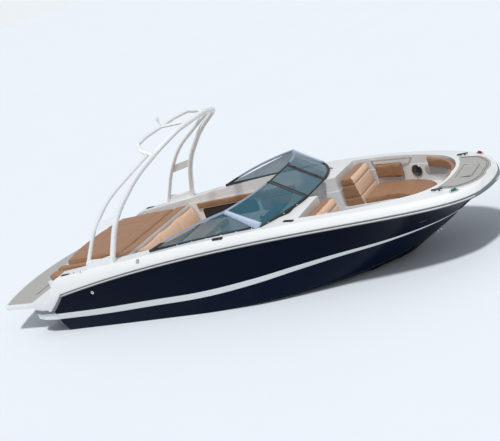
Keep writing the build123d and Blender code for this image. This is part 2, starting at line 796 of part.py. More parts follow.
def make_throttle():
    """A side-mounted control box with its lever."""
    box = from_side([(3390, 740), (3520, 740), (3520, 800), (3390, 800)], -345, -300, 15)
    lever = rod((3450, -322, 790), (3420, -322, 930), 10)
    return box + lever + Pos(3418, -322, 940) * Sphere(24)


# Windshield

GLASS_THICK = 6
FRAME_R = 16
PILLAR_R = 22
BASE_GATE = Vector(4180, 300, 1096)
BASE_CORNER = Vector(3830, 1030, 1078)
TOP_GATE = Vector(3715, 300, 1398)
TOP_CORNER = Vector(3410, 1045, 1362)
SIDE_AFT = Vector(2060, 1112, 1030)
BASE_ARC = (BASE_GATE, Vector(4050, 720, 1090), BASE_CORNER)
TOP_ARC = (TOP_GATE, Vector(3600, 720, 1384), TOP_CORNER)
SIDE_ARC = (TOP_CORNER, Vector(2900, 1090, 1270), SIDE_AFT)


def strip_section(low, high, normal):
    """A thin upright section of glass from its base to its top."""
    half = normal * (GLASS_THICK / 2)
    return Wire.make_polygon([low - half, low + half, high + half, high - half], close=True)


def pane(ends):
    """Glass ruled through (base, top) pairs along the span."""
    low_a, high_a = ends[0]
    low_b = ends[-1][0]
    normal = (high_a - low_a).cross(low_b - low_a).normalized()
    return Solid.make_loft([strip_section(low, high, normal) for low, high in ends], ruled=True)


def middle(a, b, c, t):
    """A point at t along the arc through a, b and c."""
    return Edge.make_three_point_arc(a, b, c) @ t


def front_pane():
    ends = [(middle(*BASE_ARC, t), middle(*TOP_ARC, t)) for t in (0, 0.25, 0.5, 0.75, 1)]
    return pane(ends)


def side_pane():
    tail = SIDE_AFT + Vector(60, 0, 8)
    return pane([(tail, tail + Vector(0, 0, 10)), (BASE_CORNER, TOP_CORNER)])


def bar(a, b, radius=FRAME_R):
    return rod((a.X, a.Y, a.Z), (b.X, b.Y, b.Z), radius)


def ball(centre, radius=FRAME_R):
    return Pos(centre.X, centre.Y, centre.Z) * Sphere(radius)


def bent_bar(points, radius=FRAME_R):
    path = Edge.make_three_point_arc(*points)
    return sweep(Plane(origin=path @ 0, z_dir=path % 0) * Circle(radius), path=path)


def make_windshield_frame():
    """The port half's tubes round its front and side panes, with the thicker corner pillar."""
    frame = bent_bar(TOP_ARC) + bent_bar(SIDE_ARC)
    frame += bar(TOP_CORNER, BASE_CORNER, PILLAR_R)
    frame += bent_bar(BASE_ARC) + bar(BASE_CORNER, SIDE_AFT)
    frame += bar(BASE_GATE, TOP_GATE)
    for joint in (TOP_GATE, TOP_CORNER, BASE_GATE, SIDE_AFT):
        frame += ball(joint)
    return frame + ball(BASE_CORNER, PILLAR_R)


GATE_GAP = 42
GATE_R = 11
# The gate's hinges stand on its front face, so that it folds flat against the port pane
GATE_RISE = (TOP_GATE - BASE_GATE).normalized()
GATE_OUT = Vector(-GATE_RISE.Z, 0, GATE_RISE.X) * -1
GATE_AXIS_OUT = 22
GATE_AXIS_FOOT = BASE_GATE - Vector(0, GATE_GAP / 2, 0) + GATE_OUT * GATE_AXIS_OUT
GATE_HINGES = (110, 440)
KNUCKLE_R = 7
KNUCKLE_LENGTH = 36


def gate_corners(inset):
    """The centre pane's four corners, from the lower port one round."""
    low_port = BASE_GATE - Vector(0, GATE_GAP + inset, 0) + GATE_RISE * inset
    high_port = TOP_GATE - Vector(0, GATE_GAP + inset, 0) - GATE_RISE * inset
    return [low_port, high_port, Vector(high_port.X, -high_port.Y, high_port.Z),
            Vector(low_port.X, -low_port.Y, low_port.Z)]


def make_gate_frame():
    """The walk-through window's tubes and the barrels of its hinges."""
    corners = gate_corners(0)
    frame = bar(corners[-1], corners[0], GATE_R)
    for a, b in zip(corners, corners[1:]):
        frame = frame + (bar(a, b, GATE_R) + ball(a, GATE_R + 1))
    frame = frame + ball(corners[-1], GATE_R + 1)
    for along in GATE_HINGES:
        start = GATE_AXIS_FOOT + GATE_RISE * along
        end = start + GATE_RISE * KNUCKLE_LENGTH
        foot = (start + end) * 0.5
        arm = bar(foot, foot - Vector(0, GATE_GAP / 2, 0) - GATE_OUT * GATE_AXIS_OUT, 5)
        frame = frame + (bar(start, end, KNUCKLE_R) + arm)
    return frame


def make_gate_glass():
    low_port, high_port, high_star, low_star = gate_corners(6)
    return pane([(low_port, high_port), (low_star, high_star)]) - make_gate_frame()


# Tower

# The forward leg's control points from its foot to the front bar, and the arcs' radii between them
TOWER_LEG = [(1354, 1136, 955), (1640, 1023, 1570), (2150, 875, 2035), (2600, 760, 2300)]
TOWER_LEG_RADII = [1500, 2200, 160]
FRONT_BAR = (2680, 350, 2388)
FRONT_BAR_RADIUS = 700
AFT_LEG = [(865, 1124, 930), (1210, 1058, 1455), (1600, 962, 1830), (2400, 797, 2262)]
AFT_LEG_RADII = [1800, 1800]
HOOP = [(2495, 795, 2228), (2320, 800, 2326), (2210, 670, 2392), (2160, 380, 2405)]
HOOP_RADII = [100, 110, 170]
HOOP_TOP = (2160, 0, 2405)
LEG_R = 39
AFT_LEG_R = 28
HOOP_R = 28
PLATE_Z = (1480, 1600)
PLATE_THICK = 12


def side_points(points, side):
    return [(x, y * side, z) for x, y, z in points]


def point_on(points, z):
    """Where a chain of straight runs passes the height z."""
    for a, b in zip(points, points[1:]):
        if a[2] <= z <= b[2]:
            t = (z - a[2]) / (b[2] - a[2])
            return Vector(*a) + (Vector(*b) - Vector(*a)) * t
    raise ValueError("height outside the leg")


def make_tower_arch():
    """Both forward legs and the crowned front bar in one bent tube, with its two web plates."""
    path = TOWER_LEG + [FRONT_BAR] + side_points([FRONT_BAR] + TOWER_LEG[::-1], -1)
    radii = TOWER_LEG_RADII + [FRONT_BAR_RADIUS, FRONT_BAR_RADIUS] + TOWER_LEG_RADII[::-1]
    return tube_path(path, radii, LEG_R)


def make_web_plate():
    """The flat plate that ties the two port legs together."""
    low_front, high_front = (point_on(TOWER_LEG, z) for z in PLATE_Z)
    low_aft, high_aft = (point_on(AFT_LEG, z - 60) for z in PLATE_Z)
    normal = (high_front - low_front).cross(low_aft - low_front).normalized() * (PLATE_THICK / 2)
    ends = ((low_front, high_front), (low_aft, high_aft))
    return Solid.make_loft([Wire.make_polygon([a - normal, a + normal, b + normal, b - normal], close=True)
                            for a, b in ends], ruled=True)


def make_aft_leg(side):
    return tube_path(side_points(AFT_LEG, side), AFT_LEG_RADII, AFT_LEG_R)


def make_tower_hoop():
    """The after hoop with its fore-and-aft brace."""
    path = HOOP + side_points(HOOP[::-1], -1)
    hoop = tube_path(path, HOOP_RADII[:2] + [HOOP_RADII[2]] * 2 + HOOP_RADII[:2][::-1], HOOP_R)
    return hoop + rod(HOOP_TOP, (FRONT_BAR[0], 0, FRONT_BAR[2]), HOOP_R * 0.8)


def make_tower_light():
    """An all-round light: post, dark band and cap."""
    x, y, z = HOOP_TOP
    foot = z + HOOP_R - 2
    half = [(0, 0), (26, 0), (26, 8), (16, 16), (16, 75), (23, 80), (23, 112), (17, 122), (0, 122)]
    face = make_face(Polyline(*[(r, 0, h) for r, h in half], close=True))
    return Pos(x, y, foot) * revolve(face, Axis.Z)


def make_tower_fairing(side):
    """The moulded foot that joins both legs to the gunwale."""
    profile = [(850, 900), (1395, 940), (1432, 1075), (1180, 1038), (925, 1050)]
    return from_side(profile, *sided(side, 1105, 1158), [5, 5, 25, 200, 25])


# Deck fittings

BOW_CLEAT = (6030, 555, 985)
CLEAT_HALF = 70
# One row a flush cleat: x, y
FLUSH_CLEATS = [(450, 1165), (3230, 1165)]


def make_cleats():
    """Two horned cleats at the bow and two flush ones on each gunwale."""
    x, y, z = BOW_CLEAT
    cleats = Part()
    for side in (-1, 1):
        cleats += rod((x - CLEAT_HALF, side * y, z), (x + CLEAT_HALF, side * y, z), 9)
        for foot in (-28, 28):
            cleats += rod((x + foot, side * y, z - 45), (x + foot, side * y, z), 9)
        for flush_x, flush_y in FLUSH_CLEATS:
            top = deck_edge(flush_x) + 8
            cleats += extrude(Pos(flush_x, side * flush_y, top - 16) * SlotOverall(170, 44), 16)
    return cleats


def make_anchor_lid():
    """The locker's lid with its hinge barrels at the after edge."""
    lid = from_above([(6150, -200), (6350, -200), (6350, 200), (6150, 200)],
                     LID_TOP - LID_THICK, LID_TOP, [2, 40, 40, 2])
    for side in (-1, 1):
        lid += Plane(origin=(6150, side * 120, LID_TOP), z_dir=(0, 1, 0)) * Cylinder(4.5, 50)
    return lid


def make_bow_eye():
    return across(5660, 235) * Torus(28, 7)


# Stern drive

STEER_X = -150
TILT_Z = 60
PROP_X = -585
PROP_Z = -590
PIN_R = 14
BORE_R = 14.05
RING_X = (-175, -125)
RING_Z = (-105, 210)
RING_HALF = 150
RING_WALL = 32
CYL_FRONT = (-195, -85)
CYL_REAR = (-470, -70)
CYL_Y = 182
BARREL_R = 27
ROD_R = 10
FRONT_PIN_R = 10
REAR_PIN_R = 7
REAR_EYE_BORE = 15.5
TORPEDO_R = 52
PLATE_TOP_Z = -388


def make_transom_bracket():
    """The plate on the transom and the two arms that hold the steering pins."""
    plate = extrude(Plane(origin=(-25, 0, 0), x_dir=(0, 1, 0), z_dir=(1, 0, 0))
                    * outline([(-190, -190), (190, -190), (190, 290), (-190, 290)], 60), 25)
    for low, high in ((215, 255), (-150, -115)):
        arm = from_above([(STEER_X - 40, -32), (-24, -60), (-24, 60), (STEER_X - 40, 32)], low, high,
                         [30, 2, 2, 30])
        plate += arm - Pos(STEER_X, 0, (low + high) / 2) * Cylinder(BORE_R, high - low + 2)
    return plate


def make_gimbal_ring():
    """The ring between transom and drive: steering pins above and below, trim pins behind."""
    profile = outline([(-RING_HALF, RING_Z[0]), (RING_HALF, RING_Z[0]), (RING_HALF, RING_Z[1]),
                       (-RING_HALF, RING_Z[1])], 50)
    opening = outline([(-RING_HALF + RING_WALL, RING_Z[0] + 30), (RING_HALF - RING_WALL, RING_Z[0] + 30),
                       (RING_HALF - RING_WALL, RING_Z[1] - 30), (-RING_HALF + RING_WALL, RING_Z[1] - 30)], 30)
    plane = Plane(origin=(RING_X[0], 0, 0), x_dir=(0, 1, 0), z_dir=(1, 0, 0))
    ring = extrude(plane * (profile - opening), RING_X[1] - RING_X[0])
    for low, high in ((RING_Z[1] - 2, 255), (-150, RING_Z[0] + 2)):
        ring += Pos(STEER_X, 0, (low + high) / 2) * Cylinder(PIN_R, high - low)
    ring -= across(STEER_X, TILT_Z) * Cylinder(BORE_R, 400)
    for side in (-1, 1):
        ring += block((CYL_FRONT[0] - 20, RING_X[0] + 1), sided(side, RING_HALF - RING_WALL, RING_HALF),
                      (CYL_FRONT[1] - 18, CYL_FRONT[1] + 20))
        ring += rod((CYL_FRONT[0], side * 130, CYL_FRONT[1]), (CYL_FRONT[0], side * 200, CYL_FRONT[1]),
                    FRONT_PIN_R)
    return ring


def leg_section(z, fore, aft, half_width):
    """A pointed oval across the leg at the height z."""
    widest = fore + (aft - fore) * 0.45
    return Wire([arc((fore, 0, z), (widest, half_width, z), (aft, 0, z)),
                 arc((aft, 0, z), (widest, -half_width, z), (fore, 0, z))])


# One row a section of the leg: height, fore end, after end, half its width
LEG_SECTIONS = [
    (-40, -205, -450, 58),
    (-180, -225, -455, 50),
    (-300, -262, -462, 42),
    (PLATE_TOP_Z - 2, -290, -470, 36),
]
# The same below the plate, down to the propeller's shaft
STRUT_SECTIONS = [
    (PLATE_TOP_Z - 2, -285, -478, 34),
    (-480, -315, -490, 24),
    (PROP_Z + 20, -330, -505, 28),
]
HOUSING = [(-196, -60), (-440, -60), (-478, -100), (-496, -60), (-470, 60), (-400, 128), (-330, 128),
           (-262, 106), (-205, 88)]


def make_torpedo():
    """The gear case: a bullet turned about the propeller's shaft."""
    nose_x = -255
    rear_x = -528
    nose = [arc((nose_x, 0, 0), (nose_x - 38, 0, TORPEDO_R * 0.76), (nose_x - 110, 0, TORPEDO_R))]
    rest = [(nose_x - 110, 0, TORPEDO_R), (rear_x + 60, 0, TORPEDO_R), (rear_x, 0, TORPEDO_R - 6),
            (rear_x, 0, 0), (nose_x, 0, 0)]
    face = make_face(Wire(nose + [line(a, b) for a, b in zip(rest, rest[1:])]))
    return Pos(0, 0, PROP_Z) * revolve(face, Axis.X)


def make_drive_leg():
    """Trunnion, upper housing, leg, anti-ventilation plate, gear case and skeg."""
    trunnion = across(STEER_X, TILT_Z)
    body = trunnion * Cylinder(72, 160)
    body += trunnion * Cylinder(28, 218)
    body += trunnion * Cylinder(PIN_R, 300)
    housing = from_side(HOUSING, -66, 66, [10, 10, 20, 20, 60, 40, 40, 30, 10])
    body += fillet(housing.edges().filter_by(Axis.Y, reverse=True), 14)
    body += Solid.make_loft([leg_section(*row) for row in LEG_SECTIONS])
    body += from_above([(-240, -45), (-470, -150), (-640, -118), (-685, 0), (-640, 118), (-470, 150),
                        (-240, 45)], PLATE_TOP_Z - 12, PLATE_TOP_Z, [20, 60, 60, 60, 60, 60, 20])
    body += Solid.make_loft([leg_section(*row) for row in STRUT_SECTIONS])
    body += make_torpedo()
    skeg = [(-295, PROP_Z - 20), (-500, PROP_Z - 20), (-520, -775), (-445, -795)]
    body += from_side(skeg, -7, 7, [5, 5, 12, 20])
    return body + rod((CYL_REAR[0], -205, CYL_REAR[1]), (CYL_REAR[0], 205, CYL_REAR[1]), REAR_PIN_R)


BLADE_PITCH = 480
HUB_R = 48
HUB_X = (-640, -532)
# One row a blade section: distance from the shaft, chord, thickness, rake aft
BLADE_SECTIONS = [
    (40, 92, 14, 0),
    (80, 140, 10, 4),
    (125, 165, 7, 9),
    (158, 120, 5, 14),
    (176, 50, 3, 17),
]


def blade_section(reach, chord, thick, rake):
    """A lens set at the helix angle of its own radius."""
    helix = atan2(BLADE_PITCH, 2 * pi * reach)
    plane = Plane(origin=(-rake, 0, reach), x_dir=(sin(helix), cos(helix), 0), z_dir=(0, 0, 1))
    fore = Vector(-chord / 2, 0)
    aft = Vector(chord / 2, 0)
    back = Edge.make_three_point_arc(fore, Vector(0, thick), aft)
    face = Edge.make_three_point_arc(aft, Vector(0, -thick * 0.1), fore)
    return plane * Wire([back, face])


def make_propeller():
    """Three twisted blades on a hub with the exhaust's ring at its end."""
    profile = [(HUB_X[1], 0), (HUB_X[1], HUB_R - 2), (HUB_X[0] + 20, HUB_R), (HUB_X[0], HUB_R + 6),
               (HUB_X[0], HUB_R - 8), (HUB_X[0] + 30, HUB_R - 12), (HUB_X[0] + 30, 18),
               (HUB_X[0] + 4, 14), (HUB_X[0] + 4, 0)]
    face = make_face(Polyline(*[(x, 0, r) for x, r in profile], close=True))
    propeller = Pos(0, 0, PROP_Z) * revolve(face, Axis.X)
    blade = Solid.make_loft([blade_section(*row) for row in BLADE_SECTIONS])
    for turn in range(0, 360, 120):
        propeller += Pos(PROP_X, 0, PROP_Z) * Rot(turn, 0, 0) * blade
    return propeller


def ram_point(side, end, along=0.0):
    """A point on a ram's centre line, along it from its front or rear pin."""
    line_of_ram = Vector(CYL_REAR[0] - CYL_FRONT[0], 0, CYL_REAR[1] - CYL_FRONT[1]).normalized()
    return Vector(end[0], side * CYL_Y, end[1]) + line_of_ram * along


def eye(side, end, outer, bore, half):
    """A ring across the boat at one pin of a ram."""
    low = (end[0], side * CYL_Y - half, end[1])
    high = (end[0], side * CYL_Y + half, end[1])
    return rod(low, high, outer), rod(low, high, bore)


def make_trim_cylinder(side):
    ring, bore = eye(side, CYL_FRONT, 22, FRONT_PIN_R + 0.05, 17)
    barrel = bar(ram_point(side, CYL_FRONT, 16), ram_point(side, CYL_FRONT, 184), BARREL_R)
    barrel += bar(ram_point(side, CYL_FRONT, 184), ram_point(side, CYL_FRONT, 198), BARREL_R - 6)
    barrel -= bar(ram_point(side, CYL_FRONT, 27), ram_point(side, CYL_FRONT, 205), ROD_R + 0.6)
    return barrel + ring - bore


def make_trim_rod(side):
    ring, bore = eye(side, CYL_REAR, 25, REAR_EYE_BORE, 15)
    shaft = bar(ram_point(side, CYL_FRONT, 45), ram_point(side, CYL_REAR), ROD_R)
    return shaft + ring - bore


NODES = {
    "hull": make_hull(),
    "rub_rail": make_rub_rail(),
    "deck": make_deck(),
    "stern_moulding": make_stern_moulding(),
    "platform_extension": make_platform_extension(),
    "platform_mat": make_platform_mat(),
    "aft_deck": make_aft_deck(),
    "cockpit_liner": make_liner(),
    "floor_mat": make_floor_mat(),
    "engine_block": make_engine(),
    "engine_hatch": make_engine_hatch(),
    "sun_pad": make_sun_pad(),
    "walkway_pads": make_walkway_pads(),
    "bench_base": make_bench_base(),
    "bench_seat": make_bench_seat(),
    "bench_back": make_bench_back(),
    "port_lounge_base": make_port_lounge_base(),
    "port_lounge_seat": make_port_lounge_seat(),
    "gunwale_pads": make_gunwale_pads(),
    "bow_bolsters": make_bow_bolsters(),
    "bow_mat": make_bow_mat(),
    "bow_rails": make_bow_rails(),
    "helm_pedestal": make_helm_pedestal(),
    "helm_seat": make_helm_seat(),
    "helm_cushions": make_helm_cushions(),
    "steering_wheel": make_steering_wheel(),
    "dash": make_dash(),
    "throttle": make_throttle(),
    "gate_frame": make_gate_frame(),
    "gate_glass": make_gate_glass(),
    "tower_arch": make_tower_arch(),
    "tower_hoop": make_tower_hoop(),
    "tower_light": make_tower_light(),
    "cleats": make_cleats(),
    "anchor_lid": make_anchor_lid(),
    "bow_eye": make_bow_eye(),
    "transom_bracket": make_transom_bracket(),
    "gimbal_ring": make_gimbal_ring(),
    "drive_leg": make_drive_leg(),
    "propeller": make_propeller(),
}
for name, side in (("port", 1), ("starboard", -1)):
    NODES[f"{name}_console"] = make_console(side)
    NODES[f"{name}_bow_cushion"] = make_bow_cushion(side)
    NODES[f"{name}_bow_back"] = make_bow_back(side)
    NODES[f"{name}_aft_leg"] = make_aft_leg(side)
    NODES[f"{name}_tower_fairing"] = make_tower_fairing(side)
    NODES[f"{name}_trim_cylinder"] = make_trim_cylinder(side)
    NODES[f"{name}_trim_rod"] = make_trim_rod(side)

NODES["tower_arch"] = NODES["tower_arch"] + both_sides(make_web_plate())
NODES["port_windshield_frame"] = make_windshield_frame()
NODES["port_front_glass"] = front_pane()
NODES["port_side_glass"] = side_pane()

# Where a piece is let into others, the piece named first is cut to fit them
LET_INTO = [
    ("bench_back", ["cockpit_liner", "bench_base", "bench_seat"]),
    ("helm_cushions", ["helm_seat"]),
    ("bow_eye", ["hull"]),
    ("rub_rail", ["stern_moulding"]),
    ("cleats", ["deck"]),
    ("anchor_lid", ["deck"]),
    ("bow_mat", ["deck", "cleats", "anchor_lid"]),
    ("bow_rails", ["deck"]),
    ("bow_bolsters", ["deck", "hull", "rub_rail", "cockpit_liner", "port_bow_cushion", "starboard_bow_cushion"]),
    ("dash", ["starboard_console", "cockpit_liner", "hull", "rub_rail", "deck"]),
    ("port_lounge_base", ["cockpit_liner", "hull"]),
    ("port_lounge_seat", ["cockpit_liner", "hull", "port_lounge_base", "port_console"]),
    ("gunwale_pads", ["port_lounge_seat"]),
    ("floor_mat", ["helm_pedestal", "port_lounge_base"]),
    ("tower_hoop", ["tower_arch"]),
    ("tower_light", ["tower_hoop"]),
    ("throttle", ["starboard_console", "dash"]),
    ("port_windshield_frame", ["deck", "port_console"]),
    ("port_front_glass", ["deck", "port_windshield_frame"]),
    ("port_side_glass", ["deck", "port_windshield_frame", "port_front_glass"]),
    ("tower_arch", ["deck", "port_aft_leg", "starboard_aft_leg"]),
]
for side in ("port", "starboard"):
    LET_INTO += [
        (f"{side}_aft_leg", ["deck", "tower_hoop"]),
        (f"{side}_tower_fairing", ["deck", "tower_arch", f"{side}_aft_leg"]),
        (f"{side}_bow_cushion", ["cockpit_liner"]),
        (f"{side}_bow_back", ["cockpit_liner", f"{side}_console"]),
    ]
for name, others in LET_INTO:
    piece = Part() + NODES[name].solids()
    for other in others:
        piece = piece - (Part() + NODES[other].solids())
    NODES[name] = piece

for name in ("windshield_frame", "front_glass", "side_glass"):
    NODES[f"starboard_{name}"] = mirrored(NODES[f"port_{name}"])
NODES["dash"] = NODES["dash"] - NODES["starboard_windshield_frame"] - NODES["starboard_front_glass"]

for name, shape in NODES.items():
    export_step(shape, f"parts/{name}.step")
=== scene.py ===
import json
import math

import bmesh
import bpy
import numpy as np
from mathutils import Matrix, Vector
from mathutils.bvhtree import BVHTree


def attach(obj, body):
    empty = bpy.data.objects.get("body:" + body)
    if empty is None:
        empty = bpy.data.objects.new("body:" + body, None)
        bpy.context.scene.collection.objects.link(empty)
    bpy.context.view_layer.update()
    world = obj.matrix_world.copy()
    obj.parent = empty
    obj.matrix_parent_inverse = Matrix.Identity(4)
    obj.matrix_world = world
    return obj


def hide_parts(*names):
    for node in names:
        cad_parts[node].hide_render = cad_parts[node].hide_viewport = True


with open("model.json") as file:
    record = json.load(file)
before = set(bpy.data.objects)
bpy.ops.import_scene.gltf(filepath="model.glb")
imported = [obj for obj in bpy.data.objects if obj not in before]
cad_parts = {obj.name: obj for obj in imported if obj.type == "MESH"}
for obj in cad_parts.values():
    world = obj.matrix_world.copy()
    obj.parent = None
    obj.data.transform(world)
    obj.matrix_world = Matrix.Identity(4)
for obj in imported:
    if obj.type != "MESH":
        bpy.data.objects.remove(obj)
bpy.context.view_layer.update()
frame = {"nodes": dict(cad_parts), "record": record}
nodes = frame["nodes"]
SLOT_OF = {part["node"]: part["material_slot"] for part in frame["record"]["subparts"]}

# All lengths are in metres, in the boat's frame: x ahead, y to port, z up
UP = Vector((0, 0, 1))
DOWNWARD = (0, 0, -1)
FULL_TURN = 2 * math.pi
AXES = {"x": 0, "y": 1, "z": 2}

# Camera, solved from the photograph's lines in the boat's frame
AZIMUTH = 34.807
ELEVATION = 16.696
ROLL = 21.394
DISTANCE = 13.498
LOOKS_AT = Vector((3.0, 0.0, 0.806))
FOCAL_PX = 968.216
PHOTO_WIDTH = 500
SENSOR = 36.0


def make_camera():
    az, el, roll = (math.radians(a) for a in (AZIMUTH, ELEVATION, ROLL))
    back = Vector((math.sin(az) * math.cos(el), -math.cos(az) * math.cos(el), math.sin(el)))
    right = (-back).cross(UP).normalized()
    up = right.cross(-back)
    turned_right = right * math.cos(roll) - up * math.sin(roll)
    turned_up = right * math.sin(roll) + up * math.cos(roll)
    data = bpy.data.cameras.new("camera")
    data.sensor_width = SENSOR
    data.sensor_fit = "HORIZONTAL"
    data.lens = FOCAL_PX * SENSOR / PHOTO_WIDTH
    data.clip_end = 400
    camera = bpy.data.objects.new("camera", data)
    bpy.context.scene.collection.objects.link(camera)
    place = LOOKS_AT + back * DISTANCE
    columns = (turned_right, turned_up, back, place)
    rows = [[column[i] for column in columns] for i in range(3)]
    camera.matrix_world = Matrix((*rows, (0, 0, 0, 1)))
    bpy.context.scene.camera = camera


# Shader helpers

MIX_FACTOR, MIX_LOW, MIX_HIGH, MIX_RESULT = 0, 6, 7, 2


def new_material(name):
    material = bpy.data.materials.new(name)
    material.use_nodes = True
    tree = material.node_tree
    return material, tree, tree.nodes["Principled BSDF"]


def link(tree, a, a_socket, b, b_socket):
    tree.links.new(a.outputs[a_socket], b.inputs[b_socket])


def add(tree, kind, **values):
    node = tree.nodes.new(kind)
    for key, value in values.items():
        if key in node.bl_rna.properties:
            setattr(node, key, value)
        else:
            node.inputs[key].default_value = value
    return node


def settle(node, values):
    for name, value in values.items():
        node.inputs[name].default_value = value


def own_place(tree):
    return add(tree, "ShaderNodeTexCoord").outputs["Object"]


def split(tree, socket):
    """The x, y and z of a vector socket."""
    node = add(tree, "ShaderNodeSeparateXYZ")
    tree.links.new(socket, node.inputs[0])
    return node.outputs


def math_node(tree, operation, a, b=None):
    """A Math node fed by sockets or numbers."""
    node = add(tree, "ShaderNodeMath", operation=operation)
    for slot, value in enumerate((a, b)):
        if value is None:
            continue
        if isinstance(value, (int, float)):
            node.inputs[slot].default_value = value
        else:
            tree.links.new(value, node.inputs[slot])
    return node.outputs[0]


def less(tree, value, limit):
    return math_node(tree, "LESS_THAN", value, limit)


def more(tree, value, limit):
    return math_node(tree, "GREATER_THAN", value, limit)


def every(tree, first, *masks):
    for mask in masks:
        first = math_node(tree, "MULTIPLY", first, mask)
    return first


def either(tree, a, b):
    return math_node(tree, "MAXIMUM", a, b)


def mixed(tree, factor, low, high):
    """From low to high by the factor; each is a colour or a socket."""
    node = add(tree, "ShaderNodeMix", data_type="RGBA")
    tree.links.new(factor, node.inputs[MIX_FACTOR])
    for slot, colour in ((MIX_LOW, low), (MIX_HIGH, high)):
        if isinstance(colour, (tuple, list)):
            node.inputs[slot].default_value = (*colour, 1)
        else:
            tree.links.new(colour, node.inputs[slot])
    return node.outputs[MIX_RESULT]


def noise(tree, scale, detail=2.0):
    node = add(tree, "ShaderNodeTexNoise", Scale=scale, Detail=detail)
    tree.links.new(own_place(tree), node.inputs["Vector"])
    return node.outputs["Fac"]


def colour_by(tree, shader, socket):
    tree.links.new(socket, shader.inputs["Base Color"])


def varied_colour(tree, shader, low, high, scale, detail=3.0):
    """Base colour wanders a little between two tones."""
    colour_by(tree, shader, mixed(tree, noise(tree, scale, detail), low, high))


def painted_over(tree, shader, mask, colour):
    """A plain colour over the base colour where the mask is 1."""
    under = shader.inputs["Base Color"].links[0].from_socket
    colour_by(tree, shader, mixed(tree, mask, under, colour))


def varied_roughness(tree, shader, low, high, scale):
    spread = add(tree, "ShaderNodeMapRange")
    settle(spread, {"To Min": low, "To Max": high})
    tree.links.new(noise(tree, scale, 4.0), spread.inputs["Value"])
    link(tree, spread, "Result", shader, "Roughness")


def bump(tree, shader, height, strength, distance):
    node = add(tree, "ShaderNodeBump", Strength=strength, Distance=distance)
    tree.links.new(height, node.inputs["Height"])
    link(tree, node, "Normal", shader, "Normal")


# Materials

WALL_WHITE = (0.76, 0.77, 0.77)
STRIPE_WHITE = (0.72, 0.76, 0.76)
TOPSIDE_NAVY = ((0.0003, 0.0026, 0.0105), (0.0006, 0.004, 0.015))
# Painted light: the navy is one paint, and the lighter tone below the stripe's middle stands for
# sun on the lower side
LIT_NAVY_BELOW_STRIPE = ((0.0004, 0.0045, 0.016), (0.0008, 0.007, 0.023))

# The boot stripe's middle height along the side, and its half width
STRIPE_LINE = [(-0.6, 0.30), (0.0, 0.29), (0.8, 0.28), (1.76, 0.30), (2.64, 0.32), (3.47, 0.39),
               (4.3, 0.48), (4.77, 0.51), (5.2, 0.505), (5.7, 0.49), (6.2, 0.44), (6.6, 0.36)]
STRIPE_HALF = [(-0.6, 0.05), (2.6, 0.047), (4.3, 0.032), (5.4, 0.018), (5.9, 0.012),
               (6.6, 0.008)]
CURVE_START = -0.6
CURVE_SPAN = 7.2

# Faces that look into the cockpit or the bow well are white: they lie ahead of WELL_STERN,
# and a side is above WELL_SIDE, a cross wall above WELL_SOLE and its aft one before WELL_NOSE
WELL_STERN = 1.2
WELL_SIDE = 0.5
WELL_SOLE = 0.1
WELL_NOSE = 5.9
LOOKS_AFT = -0.3
LOOKS_AHEAD = 0.6
LOOKS_SQUARE = 0.25

# The windshield frame is dark inside this half width and below this height
FRAME_MIDDLE = 0.36
FRAME_FOOT = 1.125
FRAME_DARK = (0.014, 0.015, 0.018)

# The share of each foam plank's width that is its groove
GROOVE_SHARE = 0.1


def gelcoat(name, low, high, coat=0.6, rough=0.16):
    material, tree, shader = new_material(name)
    varied_colour(tree, shader, low, high, 3.0)
    varied_roughness(tree, shader, rough, rough + 0.1, 9.0)
    settle(shader, {"Coat Weight": coat, "Coat Roughness": 0.06})
    return material


def curve_of(tree, position, table):
    """A smooth table of values along the boat, as a Float Curve node."""
    node = add(tree, "ShaderNodeFloatCurve")
    curve = node.mapping.curves[0]
    points = [((x - CURVE_START) / CURVE_SPAN, value) for x, value in table]
    curve.points[0].location = points[0]
    curve.points[1].location = points[-1]
    for point in points[1:-1]:
        curve.points.new(*point)
    node.mapping.update()
    tree.links.new(position, node.inputs["Value"])
    return node.outputs[0]


def inner_side(tree):
    """1 on faces that look into the cockpit or the bow well, 0 elsewhere."""
    geometry = add(tree, "ShaderNodeNewGeometry")
    x, y, z = split(tree, geometry.outputs["Position"])
    ahead, aside, _ = split(tree, geometry.outputs["True Normal"])
    sideways = every(tree, less(tree, math_node(tree, "MULTIPLY", y, aside), 0),
                     more(tree, z, WELL_SIDE))
    square = less(tree, math_node(tree, "ABSOLUTE", aside), LOOKS_SQUARE)
    looks_ahead = every(tree, more(tree, ahead, LOOKS_AHEAD), square, less(tree, x, WELL_NOSE))
    crosswise = either(tree, less(tree, ahead, LOOKS_AFT), looks_ahead)
    crosswise = every(tree, crosswise, more(tree, z, WELL_SOLE))
    return every(tree, either(tree, sideways, crosswise), more(tree, x, WELL_STERN))


def hull_paint():
    """Deep navy with the off-white boot stripe painted along the side."""
    material, tree, shader = new_material("navy_gelcoat")
    x, _, z = split(tree, own_place(tree))
    along = math_node(tree, "SUBTRACT", x, CURVE_START)
    along = math_node(tree, "DIVIDE", along, CURVE_SPAN)
    centre = curve_of(tree, along, STRIPE_LINE)
    half = curve_of(tree, along, STRIPE_HALF)
    off = math_node(tree, "ABSOLUTE", math_node(tree, "SUBTRACT", z, centre))
    cloud = noise(tree, 2.0, 3.0)
    # Painted light: below the stripe's middle the side takes the lighter navy, as if lit
    navy = mixed(tree, less(tree, z, centre), mixed(tree, cloud, *TOPSIDE_NAVY),
                 mixed(tree, cloud, *LIT_NAVY_BELOW_STRIPE))
    colour_by(tree, shader, mixed(tree, less(tree, off, half), navy, STRIPE_WHITE))
    painted_over(tree, shader, inner_side(tree), WALL_WHITE)
    varied_roughness(tree, shader, 0.14, 0.22, 5.0)
    settle(shader, {"Specular IOR Level": 0.05})
    return material


def plastic(name, low, high, rough=0.45):
    material, tree, shader = new_material(name)
    varied_colour(tree, shader, low, high, 18.0)
    varied_roughness(tree, shader, rough, rough + 0.15, 25.0)
    bump(tree, shader, noise(tree, 900.0), 0.08, 0.0004)
    return material


